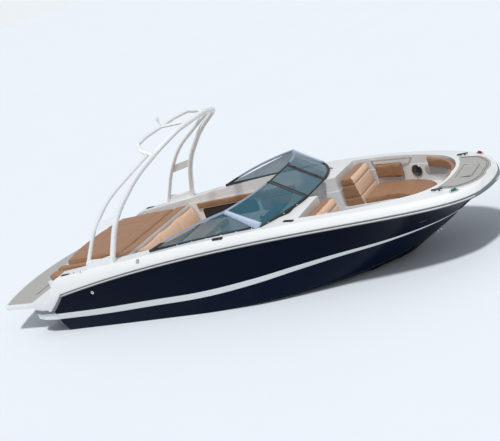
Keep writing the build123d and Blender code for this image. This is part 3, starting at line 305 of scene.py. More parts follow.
def rail_plastic(name, low, high):
    """Dark rail vinyl outside, white gelcoat on the faces behind it."""
    material = plastic(name, low, high, 0.4)
    tree = material.node_tree
    painted_over(tree, tree.nodes["Principled BSDF"], inner_side(tree), WALL_WHITE)
    return material


def frame_metal(name, low, high):
    """Pale alloy along the glass's top, its blue tint a painted sky reflection, near black at its
    foot and round the walk-through.
    """
    material, tree, shader = new_material(name)
    varied_colour(tree, shader, low, high, 20.0)
    _, y, z = split(tree, own_place(tree))
    middle = less(tree, math_node(tree, "ABSOLUTE", y), FRAME_MIDDLE)
    shaded = either(tree, middle, less(tree, z, FRAME_FOOT))
    painted_over(tree, shader, shaded, FRAME_DARK)
    bright = math_node(tree, "SUBTRACT", 1.0, shaded)
    tree.links.new(math_node(tree, "MULTIPLY", bright, 0.75), shader.inputs["Metallic"])
    varied_roughness(tree, shader, 0.35, 0.5, 30.0)
    return material


def leather(name, low, high):
    material, tree, shader = new_material(name)
    varied_colour(tree, shader, low, high, 14.0, 5.0)
    varied_roughness(tree, shader, 0.42, 0.6, 30.0)
    cells = add(tree, "ShaderNodeTexVoronoi", Scale=420.0)
    tree.links.new(own_place(tree), cells.inputs["Vector"])
    bump(tree, shader, cells.outputs["Distance"], 0.25, 0.0008)
    settle(shader, {"Sheen Weight": 0.08})
    return material


def metal(name, low, high, rough=0.2):
    material, tree, shader = new_material(name)
    varied_colour(tree, shader, low, high, 20.0)
    varied_roughness(tree, shader, rough, rough + 0.12, 35.0)
    settle(shader, {"Metallic": 1.0})
    return material


def mat_rubber(name, low, high, groove, pitch):
    """Closed-cell foam decking: fine grooves along the boat and a rough top."""
    material, tree, shader = new_material(name)
    _, y, _ = split(tree, own_place(tree))
    phase = math_node(tree, "FRACT", math_node(tree, "DIVIDE", y, pitch))
    line_here = less(tree, phase, GROOVE_SHARE)
    speckle = noise(tree, 160.0, 4.0)
    base = mixed(tree, speckle, low, high)
    colour_by(tree, shader, mixed(tree, line_here, base, groove))
    settle(shader, {"Roughness": 0.85})
    bump(tree, shader, math_node(tree, "SUBTRACT", speckle, line_here), 0.4, 0.002)
    return material


def glass(name, tint, alpha):
    material, tree, shader = new_material(name)
    varied_colour(tree, shader, tint, [c * 1.15 for c in tint], 2.0)
    settle(shader, {"Roughness": 0.03, "Alpha": alpha, "Coat Weight": 1.0,
                    "Coat Roughness": 0.02})
    return material


def paint(name, material):
    if name in nodes:
        mesh = nodes[name].data
        mesh.materials.clear()
        mesh.materials.append(material)


# Mesh helpers

def new_object(name, mesh):
    piece = bpy.data.objects.new(name, mesh)
    bpy.context.scene.collection.objects.link(piece)
    return piece


def detail(name, form, slot, material, body="boat"):
    """A piece of its own from a form, riding a body."""
    mesh = bpy.data.meshes.new(name)
    form.normal_update()
    form.to_mesh(mesh)
    form.free()
    mesh.polygons.foreach_set("use_smooth", [True] * len(mesh.polygons))
    mesh.materials.append(material)
    piece = new_object(name, mesh)
    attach(piece, body)


def skin(form, rings, ends=True):
    """Faces from ring to ring, and over both ends."""
    for a, b in zip(rings, rings[1:]):
        for k in range(len(a)):
            n = (k + 1) % len(a)
            form.faces.new((a[k], a[n], b[n], b[k]))
    if ends:
        form.faces.new(rings[0][::-1])
        form.faces.new(rings[-1])


def oval(form, centre, across, half_width, rise, half_height, sides):
    ring = []
    for k in range(sides):
        angle = FULL_TURN * k / sides
        ring.append(form.verts.new(centre + across * (half_width * math.cos(angle))
                                   + rise * (half_height * math.sin(angle))))
    return ring


def sweep(form, points, radius, sides=8, squash=1.0, up=UP):
    """A tube through the points, squashed along up, added to form."""
    rings = []
    for i, point in enumerate(points):
        ahead = points[i + 1] if i + 1 < len(points) else point
        behind = points[i - 1] if i else point
        run = (ahead - behind).normalized()
        across = run.cross(up)
        if across.length < 1e-4:
            across = run.cross(Vector((1, 0, 0)))
        across.normalize()
        rings.append(oval(form, point, across, radius, across.cross(run), radius * squash, sides))
    skin(form, rings)


def lathe(form, place, axis, profile, sides=24):
    """A profile of (radius, height) turned round an axis at place, added to form."""
    turn = UP.rotation_difference(Vector(axis).normalized()).to_matrix()
    place = Vector(place)
    rings = []
    for radius, height in profile:
        if radius < 1e-6:
            rings.append([form.verts.new(place + turn @ Vector((0, 0, height)))])
            continue
        ring = []
        for k in range(sides):
            angle = FULL_TURN * k / sides
            off = Vector((radius * math.cos(angle), radius * math.sin(angle), height))
            ring.append(form.verts.new(place + turn @ off))
        rings.append(ring)
    for a, b in zip(rings, rings[1:]):
        for k in range(sides):
            n = (k + 1) % sides
            if len(a) == 1:
                form.faces.new((a[0], b[n], b[k]))
            elif len(b) == 1:
                form.faces.new((a[k], a[n], b[0]))
            else:
                form.faces.new((a[k], a[n], b[n], b[k]))


def turned(name, place, axis, profile, sides, slot, material, body="boat"):
    form = bmesh.new()
    lathe(form, place, axis, profile, sides)
    detail(name, form, slot, material, body)


def rounded_outline(length, width, corner, steps=6, inset=0.0, least=0.0):
    """The outline of a rectangle with round corners, drawn in by the inset."""
    corner = min(corner, length / 2, width / 2)
    r = max(corner - inset, least)
    points = []
    for quarter, (u, v) in enumerate(((1, 1), (-1, 1), (-1, -1), (1, -1))):
        for k in range(steps + 1):
            a = math.pi / 2 * (quarter + k / steps)
            points.append((u * (length / 2 - corner) + r * math.cos(a),
                           v * (width / 2 - corner) + r * math.sin(a)))
    return points


def rounded_plate(form, place, axis, along, length, width, thick, corner, rim):
    """A plate with round corners and eased rim, centred on place, its face along axis."""
    axis = Vector(axis).normalized()
    along = Vector(along)
    along = (along - axis * along.dot(axis)).normalized()
    side = axis.cross(along)
    rings = []
    for inset, height in ((0, 0), (0, thick - rim), (rim, thick)):
        outline = rounded_outline(length, width, corner, 4, inset, 0.0005)
        rings.append([form.verts.new(place + along * u + side * v + axis * height)
                      for u, v in outline])
    skin(form, rings)


def even_out(points, spacing):
    """The same line with points at an even spacing."""
    walked = [0.0]
    for a, b in zip(points, points[1:]):
        walked.append(walked[-1] + (b - a).length)
    total = walked[-1]
    count = max(2, int(total / spacing))
    result = []
    j = 0
    for i in range(count + 1):
        want = total * i / count
        while j + 2 < len(walked) and walked[j + 1] < want:
            j += 1
        span = max(walked[j + 1] - walked[j], 1e-9)
        result.append(points[j].lerp(points[j + 1], (want - walked[j]) / span))
    return result


def arc_through(a, b, c, count=16):
    """Points on the circle through three points, from a to c."""
    a, b, c = Vector(a), Vector(b), Vector(c)
    ab, ac = b - a, c - a
    axis = ab.cross(ac)
    centre = a + (axis.cross(ab) * ac.length_squared + ac.cross(axis) * ab.length_squared) \
        / (2 * axis.length_squared)
    start = a - centre
    turn = start.angle(b - centre) + (b - centre).angle(c - centre)
    axis.normalize()
    return [centre + Matrix.Rotation(turn * i / count, 3, axis) @ start
            for i in range(count + 1)]


# How far a detail is dropped, from what height a line is, and how proud a line lies
REACH = 3.0
OVERHEAD = 1.5
LINE_LIFT = 0.0002
surface_trees = {}


def surface(node):
    """The CAD node's faces, for dropping details onto."""
    if node not in surface_trees:
        form = bmesh.new()
        form.from_mesh(nodes[node].data)
        form.transform(nodes[node].matrix_world)
        surface_trees[node] = BVHTree.FromBMesh(form)
        form.free()
    return surface_trees[node]


def dropped(node, start, direction):
    """Where a line from start meets the node, and the face's normal turned back to start."""
    direction = Vector(direction).normalized()
    place, normal, _, _ = surface(node).ray_cast(Vector(start), direction, REACH)
    if place is None:
        return None, None
    if normal.dot(direction) > 0:
        normal = -normal
    return place, normal


def line_on(node, points):
    """Points dropped onto a node from above."""
    result = []
    for x, y in points:
        place, normal = dropped(node, (x, y, OVERHEAD), DOWNWARD)
        if place is not None:
            result.append(place + normal * LINE_LIFT)
    return result


def both(build):
    """Runs build for port and starboard."""
    for sign, label in ((1, "port"), (-1, "starboard")):
        build(sign, label)


# Cushions: each starts as its CAD solid, is drawn in, remeshed, and swollen as cloth
# between its seams

CLOTH_FRAMES = 20
CLOTH = dict(quality=4, mass=0.3, tension_stiffness=12, compression_stiffness=12,
             shear_stiffness=4, bending_stiffness=0.4, use_pressure=True,
             uniform_pressure_force=4.0, vertex_group_mass="held")
DRAWN_IN = 0.006
REST_DRAWN_IN = 0.001
REST_SWELLING = 0.0005
GROOVE_DEPTH = 0.007
GROOVE_WIDTH = 0.011
FAR = 9.0
# A face that looks this much along its seam's axis takes no seam, one that looks this much
# along a rest's axis is held, and so are points this share of a voxel from a seam
ALONG_SEAM = 0.75
ALONG_REST = 0.6
SEAM_SHARE = 0.7
soft_jobs = []


def linked_groups(form):
    """The form's points by solid."""
    groups = []
    seen = set()
    for start in form.verts:
        if start in seen:
            continue
        stack = [start]
        group = []
        seen.add(start)
        while stack:
            vert = stack.pop()
            group.append(vert)
            for edge in vert.link_edges:
                other = edge.other_vert(vert)
                if other not in seen:
                    seen.add(other)
                    stack.append(other)
        groups.append(group)
    return groups


def loose_solid(node, near):
    """The one solid of a CAD node whose middle is nearest to near, as its own mesh."""
    source = nodes[node]
    form = bmesh.new()
    form.from_mesh(source.data)
    form.transform(source.matrix_world)
    bmesh.ops.remove_doubles(form, verts=form.verts, dist=1e-5)
    groups = linked_groups(form)
    if len(groups) > 1:
        near = Vector(near)

        def away(group):
            low = [min(v.co[i] for v in group) for i in range(3)]
            high = [max(v.co[i] for v in group) for i in range(3)]
            return (Vector([(a + b) / 2 for a, b in zip(low, high)]) - near).length

        kept = set(min(groups, key=away))
        bmesh.ops.delete(form, geom=[v for v in form.verts if v not in kept], context="VERTS")
    mesh = bpy.data.meshes.new(node + "_copy")
    form.to_mesh(mesh)
    form.free()
    return mesh


def evaluated_mesh(piece):
    depsgraph = bpy.context.evaluated_depsgraph_get()
    return bpy.data.meshes.new_from_object(piece.evaluated_get(depsgraph))


def arrays(mesh):
    """The places and normals of a mesh's points."""
    count = len(mesh.vertices)
    places = np.empty(count * 3)
    mesh.vertices.foreach_get("co", places)
    normals = np.empty(count * 3)
    mesh.vertex_normals.foreach_get("vector", normals)
    return places.reshape(-1, 3), normals.reshape(-1, 3)


def seam_distance(places, normals, seams):
    """How far each point is from the nearest seam; a seam is a plane across one axis."""
    nearest = np.full(len(places), FAR)
    for name, value in seams:
        axis = AXES[name]
        off = np.abs(places[:, axis] - value)
        off[np.abs(normals[:, axis]) > ALONG_SEAM] = FAR
        nearest = np.minimum(nearest, off)
    return nearest


def resting(normals, rests):
    """Which points lie on a face that the pad rests on; a rest is an axis and a sign."""
    held = np.zeros(len(normals), bool)
    for axis, sign in rests:
        held |= normals[:, AXES[axis]] * sign > ALONG_REST
    return held


def start_cushion(node, near, name, voxel, rests, seams):
    """Copies, draws in and remeshes the solid, and gives it its cloth."""
    piece = new_object(name, loose_solid(node, near))
    remesh = piece.modifiers.new("remesh", "REMESH")
    remesh.mode = "VOXEL"
    remesh.voxel_size = voxel
    mesh = evaluated_mesh(piece)
    piece.modifiers.clear()
    piece.data = mesh
    places, normals = arrays(mesh)
    held = resting(normals, rests)
    drawn = places - normals * np.where(held, REST_DRAWN_IN, DRAWN_IN)[:, None]
    mesh.vertices.foreach_set("co", drawn.ravel())
    mesh.update()
    places, normals = arrays(mesh)
    tight = held | (seam_distance(places, normals, seams) < voxel * SEAM_SHARE)
    group = piece.vertex_groups.new(name="held")
    group.add([int(i) for i in np.nonzero(tight)[0]], 1.0, "REPLACE")
    soft_jobs.append((piece, places, normals, held))
    cloth = piece.modifiers.new("cloth", "CLOTH")
    for key, value in CLOTH.items():
        setattr(cloth.settings, key, value)
    cloth.settings.effector_weights.gravity = 0
    cloth.collision_settings.use_collision = False
    cloth.point_cache.frame_start = 1
    cloth.point_cache.frame_end = CLOTH_FRAMES


def run_cloth():
    """Steps all the cloth at once, then applies it to each pad."""
    for step in range(1, CLOTH_FRAMES + 1):
        bpy.context.scene.frame_set(step)
    results = [(job[0], evaluated_mesh(job[0])) for job in soft_jobs]
    for piece, mesh in results:
        piece.modifiers.clear()
        piece.data = mesh
    bpy.context.scene.frame_set(1)


def finish_cushion(job, cap, seams, body, node, cream_where):
    """Caps the swelling, smooths the pad, sinks its seams and gives it its leather."""
    piece, start, normals, held = job
    mesh = piece.data
    places, _ = arrays(mesh)
    moved = places - start
    length = np.linalg.norm(moved, axis=1)
    limit = np.where(held, REST_SWELLING, cap)
    moved *= np.minimum(1.0, limit / np.maximum(length, 1e-9))[:, None]
    mesh.vertices.foreach_set("co", (start + moved).ravel())
    mesh.update()
    divide = piece.modifiers.new("smooth", "SUBSURF")
    divide.levels = 1
    divide.render_levels = 1
    fine = evaluated_mesh(piece)
    piece.modifiers.clear()
    piece.data = fine
    piece.vertex_groups.clear()
    places, normals = arrays(fine)
    away = seam_distance(places, normals, seams)
    depth = GROOVE_DEPTH * np.exp(-(away / GROOVE_WIDTH) ** 2)
    places = places - normals * depth[:, None]
    fine.vertices.foreach_set("co", places.ravel())
    fine.update()
    fine.materials.clear()
    for material in (tan, cream) if cream_where else (tan,):
        fine.materials.append(material)
    count = len(fine.polygons)
    fine.polygons.foreach_set("use_smooth", [True] * count)
    if cream_where:
        centres = np.empty(count * 3)
        fine.polygons.foreach_get("center", centres)
        facing = np.empty(count * 3)
        fine.polygons.foreach_get("normal", facing)
        picked = cream_where(centres.reshape(-1, 3), facing.reshape(-1, 3)).astype(int)
        fine.polygons.foreach_set("material_index", picked)
    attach(piece, body)
    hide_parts(node)


# Stage

FLOOR_HALF = 150
FLOOR_COLOURS = ((0.72, 0.76, 0.8), (0.74, 0.78, 0.82))
SKY_LIGHT = (0.86, 0.9, 0.95, 1)
SKY_SEEN = (0.84, 0.88, 0.92, 1)
SKY_STRENGTH = 0.55
SUN_STRENGTH = 2.4
SUN_WIDTH = math.radians(6)
SUN_FROM = Vector((0.25, -0.42, 1.0))


def make_stage():
    mesh = bpy.data.meshes.new("floor")
    form = bmesh.new()
    bmesh.ops.create_grid(form, x_segments=1, y_segments=1, size=FLOOR_HALF)
    form.to_mesh(mesh)
    form.free()
    floor = new_object("floor", mesh)
    material, tree, shader = new_material("floor_pale")
    varied_colour(tree, shader, *FLOOR_COLOURS, 0.4)
    settle(shader, {"Roughness": 0.9, "Specular IOR Level": 0.1})
    mesh.materials.append(material)

    world = bpy.data.worlds.new("studio")
    bpy.context.scene.world = world
    world.use_nodes = True
    tree = world.node_tree
    background = tree.nodes["Background"]
    settle(background, {"Color": SKY_LIGHT, "Strength": SKY_STRENGTH})
    seen = add(tree, "ShaderNodeBackground", Color=SKY_SEEN, Strength=1.0)
    path = add(tree, "ShaderNodeLightPath")
    blend = add(tree, "ShaderNodeMixShader")
    link(tree, path, "Is Camera Ray", blend, 0)
    link(tree, background, 0, blend, 1)
    link(tree, seen, 0, blend, 2)
    link(tree, blend, 0, tree.nodes["World Output"], 0)

    key = bpy.data.lights.new("key", "SUN")
    key.energy = SUN_STRENGTH
    key.angle = SUN_WIDTH
    lamp = new_object("key", key)
    lamp.rotation_euler = SUN_FROM.to_track_quat("Z", "Y").to_euler()


make_camera()
make_stage()

# Finishes of the CAD nodes by their slots, then those of single pieces
navy = hull_paint()
white = gelcoat("white_gelcoat", (0.74, 0.75, 0.75), (0.8, 0.81, 0.81))
tan = leather("tan_vinyl", (0.27, 0.135, 0.068), (0.33, 0.17, 0.088))
cream = leather("cream_vinyl", (0.68, 0.46, 0.32), (0.74, 0.52, 0.37))
steel = metal("polished_steel", (0.72, 0.73, 0.75), (0.8, 0.8, 0.8), 0.08)
# Painted reflection: the frame's blue tint stands for the sky reflected in polished aluminium
alloy = frame_metal("sky_reflecting_alloy", (0.34, 0.42, 0.55), (0.42, 0.5, 0.62))
tower_paint = gelcoat("tower_paint", (0.78, 0.79, 0.79), (0.82, 0.83, 0.83), 0.4, 0.22)
black = plastic("black_plastic", (0.012, 0.012, 0.013), (0.025, 0.025, 0.026))
drive_paint = plastic("drive_paint", (0.01, 0.01, 0.011), (0.02, 0.02, 0.022), 0.25)
grey_mat = mat_rubber("grey_mat", (0.36, 0.36, 0.34), (0.42, 0.41, 0.39), (0.2, 0.2, 0.19), 0.05)
rail_vinyl = rail_plastic("rail_vinyl", (0.13, 0.14, 0.15), (0.18, 0.19, 0.2))
tinted = glass("tinted_glass", (0.012, 0.11, 0.16), 0.55)
engine_paint = plastic("engine_paint", (0.05, 0.05, 0.055), (0.08, 0.08, 0.085))
FINISHES = {
    "hull_navy": navy, "gelcoat_white": white, "rail_vinyl": rail_vinyl, "mat_grey": grey_mat,
    "vinyl_tan": tan, "vinyl_cream": cream, "glass_tint": tinted, "frame_alloy": alloy,
    "tower_white": tower_paint, "polished_steel": steel, "drive_black": drive_paint,
    "engine_grey": engine_paint, "black_plastic": black,
}
for node, slot in SLOT_OF.items():
    paint(node, FINISHES[slot])
paint("gate_frame", black)
paint("anchor_lid", grey_mat)
# Painted shade: the cleats are steel, and black plastic stands for the shade and dark reflections
# on them
paint("cleats", black)

dark_steel = metal("dark_steel", (0.2, 0.21, 0.22), (0.3, 0.31, 0.32), 0.22)
# Painted reflection: the pillar is aluminium, and its pale blue is the sky reflected in it, given
# as a plain colour
sky_reflection_pillar = plastic("pillar_sky_reflection", (0.34, 0.42, 0.55), (0.4, 0.48, 0.6), 0.4)
trim_light = plastic("rail_insert", (0.55, 0.56, 0.56), (0.62, 0.63, 0.63), 0.3)
line_dark = plastic("seam_line", (0.05, 0.05, 0.05), (0.08, 0.08, 0.08), 0.8)
screw_white = plastic("screw_cap", (0.7, 0.7, 0.7), (0.8, 0.8, 0.8), 0.3)
lens_green = plastic("green_lens", (0.0, 0.12, 0.05), (0.0, 0.16, 0.07), 0.1)
lens_red = plastic("red_lens", (0.25, 0.01, 0.01), (0.32, 0.015, 0.015), 0.1)
shade_panel = plastic("panel_grey", (0.42, 0.44, 0.45), (0.47, 0.49, 0.5), 0.35)
screen_black = plastic("screen_black", (0.006, 0.007, 0.009), (0.01, 0.011, 0.013), 0.08)
dial_white = plastic("dial_face", (0.6, 0.6, 0.58), (0.66, 0.66, 0.64), 0.3)

# A piece's slot with its material
STEEL = ("polished_steel", steel)
BLACK = ("black_plastic", black)
DARK_LINE = ("black_plastic", line_dark)


# Upholstery

def planes(axis, *values):
    """Seams across one axis."""
    return [(axis, value) for value in values]


def looks(axis, sign, least=0.5):
    """Cream where a face looks this way, tan elsewhere."""
    return lambda centre, facing: facing[:, AXES[axis]] * sign > least


def upper_part(below_top):
    """Cream from the top down to this far below it, tan on the lower border."""
    return lambda centre, facing: centre[:, 2] > centre[:, 2].max() - below_top


def top_panel(x_low, x_high):
    """Cream on the top between two cross seams, tan on the borders."""
    return lambda centre, facing: ((facing[:, 2] > 0.3) & (centre[:, 0] > x_low)
                                   & (centre[:, 0] < x_high))


DOWN = [("z", -1)]
AFT = [("x", -1)]
AHEAD = [("x", 1)]
FIRM = 0.8
PLUMP = 0.7
HELM_Y = -0.585
BENCH_SEAMS = planes("y", -0.5, 0, 0.5)
WALK_SEAMS = planes("x", 0.3, 0.68)

# Name, CAD node, place near the solid's middle, body, voxel, cap on the swelling, faces that
# rest, seams, fill, and where it turns cream
CUSHIONS = [
    ("sun_pad_cushion", "sun_pad", (0.5, 0.2, 0.85), "engine_cover", 0.02, 0.015,
     DOWN, planes("y", -0.2, 0.21, 0.6) + planes("x", 0.78), FIRM, None),
    ("walkway_pad_inner", "walkway_pads", (0.48, -0.76, 0.82), "boat", 0.018, 0.012,
     DOWN, WALK_SEAMS, FIRM, None),
    ("walkway_pad_outer", "walkway_pads", (0.48, -0.97, 0.82), "boat", 0.013, 0.008,
     DOWN, WALK_SEAMS, FIRM, None),
    ("bench_seat_cushion", "bench_seat", (1.7, 0, 0.51), "boat", 0.019, 0.016,
     DOWN + AFT, BENCH_SEAMS + planes("x", 1.87), PLUMP, top_panel(0, 1.87)),
    ("bench_back_top", "bench_back", (1.2, 0, 0.83), "boat", 0.017, 0.010,
     DOWN + AHEAD, BENCH_SEAMS, FIRM, None),
    ("bench_back_front", "bench_back", (1.42, 0, 0.68), "boat", 0.015, 0.008,
     DOWN + AFT, BENCH_SEAMS, FIRM, looks("x", 1, 0.55)),
    ("lounge_seat_cushion", "port_lounge_seat", (3.1, 0.72, 0.48), "boat", 0.016, 0.014,
     DOWN, planes("x", 2.98, 3.22), PLUMP, upper_part(0.05)),
    ("lounge_back_cushion", "port_lounge_seat", (3.48, 0.72, 0.71), "boat", 0.015, 0.012,
     DOWN + AHEAD, planes("y", 0.63, 0.82), PLUMP, looks("x", -1)),
    ("helm_seat_cushion", "helm_cushions", (3.02, HELM_Y, 0.45), "helm_chair", 0.012, 0.014,
     DOWN, planes("x", 3.02), PLUMP, upper_part(0.045)),
    ("helm_back_cushion", "helm_cushions", (2.78, HELM_Y, 0.66), "helm_chair", 0.012, 0.012,
     DOWN + AFT, planes("z", 0.72, 0.56), PLUMP, looks("x", 1)),
    ("helm_bolster_port", "helm_cushions", (3.01, HELM_Y + 0.21, 0.49), "helm_chair", 0.011,
     0.008, DOWN, [], FIRM, None),
    ("helm_bolster_starboard", "helm_cushions", (3.01, HELM_Y - 0.21, 0.49), "helm_chair",
     0.011, 0.008, DOWN, [], FIRM, None),
    ("bolster_nose", "bow_bolsters", (5.8, 0, 0.98), "boat", 0.013, 0.008, [], [], FIRM, None),
]


def side_cushions(side, label):
    outward = [("y", side)]
    CUSHIONS.extend([
        (f"gunwale_pad_{label}", "gunwale_pads", (2.38, side * 0.98, 0.83), "boat", 0.0125,
         0.006, outward, planes("x", 1.95, 2.4, 2.85), FIRM, None),
        (f"bow_seat_{label}", f"{label}_bow_cushion", (5, side * 0.5, 0.68), "boat", 0.017,
         0.014, DOWN, planes("x", 4.98, 5.34), PLUMP, None),
        (f"bow_back_{label}", f"{label}_bow_back", (4.5, side * 0.6, 0.84), "boat", 0.015,
         0.014, DOWN + AFT, planes("z", 0.93, 0.75), PLUMP, looks("x", 1, 0.55)),
        (f"bolster_{label}", "bow_bolsters", (4.92, side * 0.86, 0.95), "boat", 0.013,
         0.008, outward, planes("x", 4.92), FIRM, None),
    ])


both(side_cushions)
for name, node, near, body, voxel, cap, rests, seams, fill, cream_where in CUSHIONS:
    start_cushion(node, near, name, voxel, rests, seams)
run_cloth()
for job, row in zip(soft_jobs, CUSHIONS):
    name, node, near, body, voxel, cap, rests, seams, fill, cream_where = row
    finish_cushion(job, cap, seams, body, node, cream_where)

# Rub rail: a pale insert between two dark grooves along its outer face. The side's plan is
# full up to TAPER_START, and the sheer is an arc whose top is at SHEER_TOP.
HALF_BEAM = 1.275
TAPER_START = 1.1
TAPER_LENGTH = 5.425
TAPER_POWER = 2.46
BOW_POWER = 3.28
SHEER_TOP = (3.973, 0.939)
SHEER_RADIUS = 22.6
RAIL_OUT = 0.018
SIDE_XS = [0.3 + 0.12 * i for i in range(50)] + [6.3, 6.37, 6.43]
SHOULDER = (6.489, 0.24)
NOSE_TIP_X = 6.575
INSERT_RADIUS = 0.004
INSERT_SQUASH = 2.2
GROOVE_OFF = 0.017
GROOVE_RADIUS = 0.0022


def half_breadth(x):
    t = max(0.0, (x - TAPER_START) / TAPER_LENGTH)
    return HALF_BEAM * (1 - t ** TAPER_POWER) ** (1 / BOW_POWER)


def sheer(x):
    drop = SHEER_RADIUS - math.sqrt(SHEER_RADIUS ** 2 - (x - SHEER_TOP[0]) ** 2)
    return SHEER_TOP[1] - drop


def rail_line(lift=0.0, out=RAIL_OUT):
    """The rail's outer face from the port stern round the nose to the starboard stern."""
    side = [Vector((x, half_breadth(x) + out, sheer(x) + lift)) for x in SIDE_XS]
    x, y = SHOULDER
    shoulder = Vector((x + out - RAIL_OUT, y, sheer(x) + lift))
    tip = Vector((NOSE_TIP_X + out - RAIL_OUT, 0, sheer(NOSE_TIP_X) + lift))
    across = Vector((shoulder.x, -shoulder.y, shoulder.z))
    nose = arc_through(shoulder, tip, across, 24)
    return side + nose + [Vector((p.x, -p.y, p.z)) for p in reversed(side)]


def make_rail_insert():
    form = bmesh.new()
    sweep(form, rail_line(), INSERT_RADIUS, squash=INSERT_SQUASH)
    detail("rail_insert", form, "rail_vinyl", trim_light)
    form = bmesh.new()
    for lift in (-GROOVE_OFF, GROOVE_OFF):
        sweep(form, rail_line(lift, RAIL_OUT - 0.001), GROOVE_RADIUS, 6)
    detail("rail_grooves", form, "rail_vinyl", line_dark)


make_rail_insert()

# Windshield: the black foot with its screws, and the broad corner pillars. Each side's foot
# ends aft at FOOT_STERN, and the front's arc ends at the pillar's foot.
PILLAR_FOOT = (3.83, 1.03, 1.078)
PILLAR_TOP = (3.41, 1.045, 1.362)
PILLAR_THICK = 0.0245
FOOT_STERN = (2.06, 1.112, 1.03)
FOOT_FRONT = [(4.18, 0.3, 1.096), (4.05, 0.72, 1.09), PILLAR_FOOT]
FOOT_RADIUS = 0.019
SCREW_SPACING = 0.235
SCREW = [(0, -0.004), (0.0085, -0.004), (0.0085, 0.0015), (0.005, 0.004), (0, 0.004)]


def make_foot(sign, label):
    corner, stern = Vector(PILLAR_FOOT), Vector(FOOT_STERN)
    half = arc_through(*FOOT_FRONT) + [corner.lerp(stern, i / 24) for i in range(1, 25)]
    path = [Vector((p.x, sign * p.y, p.z)) for p in half]
    form = bmesh.new()
    sweep(form, path, FOOT_RADIUS, 12, squash=1.35)
    detail(f"windshield_foot_{label}", form, *BLACK)
    form = bmesh.new()
    spots = even_out(path, SCREW_SPACING)[1:-1]
    for spot, ahead in zip(spots, spots[1:]):
        out = (ahead - spot).normalized().cross(UP) * (-sign)
        if out.dot(Vector((0.3, sign, 0))) < 0:
            out = -out
        out = (out + UP * 0.45).normalized()
        lathe(form, spot + out * 0.0175, out, SCREW, 12)
    detail(f"foot_screws_{label}", form, "polished_steel", screw_white)


def make_pillar(sign, label):
    """A flat alloy casting over the corner tube, wider towards its foot."""
    top, foot = (Vector((x, sign * y, z)) for x, y, z in (PILLAR_TOP, PILLAR_FOOT))
    path = [top.lerp(foot, i / 10) for i in range(11)]
    run = (path[-1] - path[0]).normalized()
    across = run.cross(Vector((0.35, sign, 0.35))).normalized()
    rise = across.cross(run)
    form = bmesh.new()
    skin(form, [oval(form, point, across, 0.030 + 0.026 * (i / 10) ** 1.4, rise,
                     PILLAR_THICK, 20) for i, point in enumerate(path)])
    detail(f"pillar_cover_{label}", form, "frame_alloy", sky_reflection_pillar)


both(make_foot)
both(make_pillar)


# Panels and speakers laid on the liner's curved walls

PANEL_RINGS = 4
SKIRT_SCALE = 1.02
SKIRT_DEPTH = 0.002


def wall_panel(name, centre, sign, shape, slot, material, lift):
    """A thin panel, its outline and fill dropped sideways onto the cockpit liner."""
    across = Vector((sign, 0, 0))
    look = UP.cross(across)

    def spot(u, v, scale):
        start = Vector(centre) + across * (u * scale) + UP * (v * scale)
        return dropped("cockpit_liner", start, look)[0]

    hub = spot(0, 0, 1)
    rims = [[spot(u, v, 1 - r / PANEL_RINGS) for u, v in shape] for r in range(PANEL_RINGS)]
    if hub is None or any(place is None for rim in rims for place in rim):
        return
    form = bmesh.new()
    rings = [[form.verts.new(place - look * lift) for place in rim] for rim in rims]
    middle = form.verts.new(hub - look * lift)
    skirt = []
    for u, v in shape:
        place = spot(u, v, SKIRT_SCALE)
        place = rings[0][0].co if place is None else place
        skirt.append(form.verts.new(place + look * SKIRT_DEPTH))
    skin(form, [skirt] + rings, ends=False)
    inner = rings[-1]
    for k in range(len(inner)):
        form.faces.new((inner[k], inner[(k + 1) % len(inner)], middle))
    bmesh.ops.recalc_face_normals(form, faces=form.faces)
    detail(name, form, slot, material)


SPEAKER_RADIUS = 0.085
# Profiles whose radii are shares of the whole radius, with heights in metres
SPEAKER_RIM = [(1, -0.002), (1, 0.010), (0.93, 0.014), (0.84, 0.010), (0.8, 0.004), (0, 0.004)]
SPEAKER_CONE = [(0.8, 0.0045), (0.45, 0.002), (0.3, 0.003), (0.2, 0.011), (0, 0.014)]
GRILLE_BARS = 8
GRILLE_REACH = 0.82
GRILLE_LOW, GRILLE_HIGH = 0.012, 0.0165
GRILLE_RADIUS = 0.0018


def scaled(profile, radius):
    return [(radius * share, height) for share, height in profile]


def make_speaker(name, start, sign):
    """A dark ring, a rough cone and a cap with a grille, set on the liner's wall."""
    place, normal = dropped("cockpit_liner", start, (0, sign, 0))
    if place is None:
        return
    turned(name + "_rim", place, normal, scaled(SPEAKER_RIM, SPEAKER_RADIUS), 40,
           "black_plastic", dark_steel)
    form = bmesh.new()
    lathe(form, place, normal, scaled(SPEAKER_CONE, SPEAKER_RADIUS), 40)
    turn = UP.rotation_difference(normal).to_matrix()
    low, high = place + normal * GRILLE_LOW, place + normal * GRILLE_HIGH
    for k in range(GRILLE_BARS):
        angle = math.pi * k / GRILLE_BARS
        along = turn @ Vector((math.cos(angle), math.sin(angle), 0))
        half = along * SPEAKER_RADIUS * GRILLE_REACH
        sweep(form, [low - half, high, low + half], GRILLE_RADIUS, 6, up=normal)
    detail(name + "_grille", form, *BLACK)


# Name, place, length and width, lift, slot and material
PANEL_CORNER = 0.05
PANELS = [
    # Painted shade: the bow pocket is white gelcoat, given in grey for the shade inside its
    # recess
    ("bow_pocket_shade", (5.58, 0, 0.80), (0.36, 0.13), 0.003, "gelcoat_white", shade_panel),
    # Painted shade: a flat black panel stands for the shadow inside the side pocket's opening
    ("side_pocket_shade", (2.05, 0, 0.67), (1.0, 0.2), 0.003, *BLACK),
    ("side_trim", (2.98, 0, 0.66), (0.72, 0.2), 0.006, "vinyl_tan", tan),
]


def wall_fittings(sign, label):
    make_speaker(f"bow_speaker_{label}", (5.27, 0, 0.80), sign)
    make_speaker(f"cockpit_speaker_{label}", (2.86, 0, 0.62), sign)
    for name, centre, size, lift, slot, material in PANELS:
        wall_panel(f"{name}_{label}", centre, sign, rounded_outline(*size, PANEL_CORNER), slot,
                   material, lift)


both(wall_fittings)


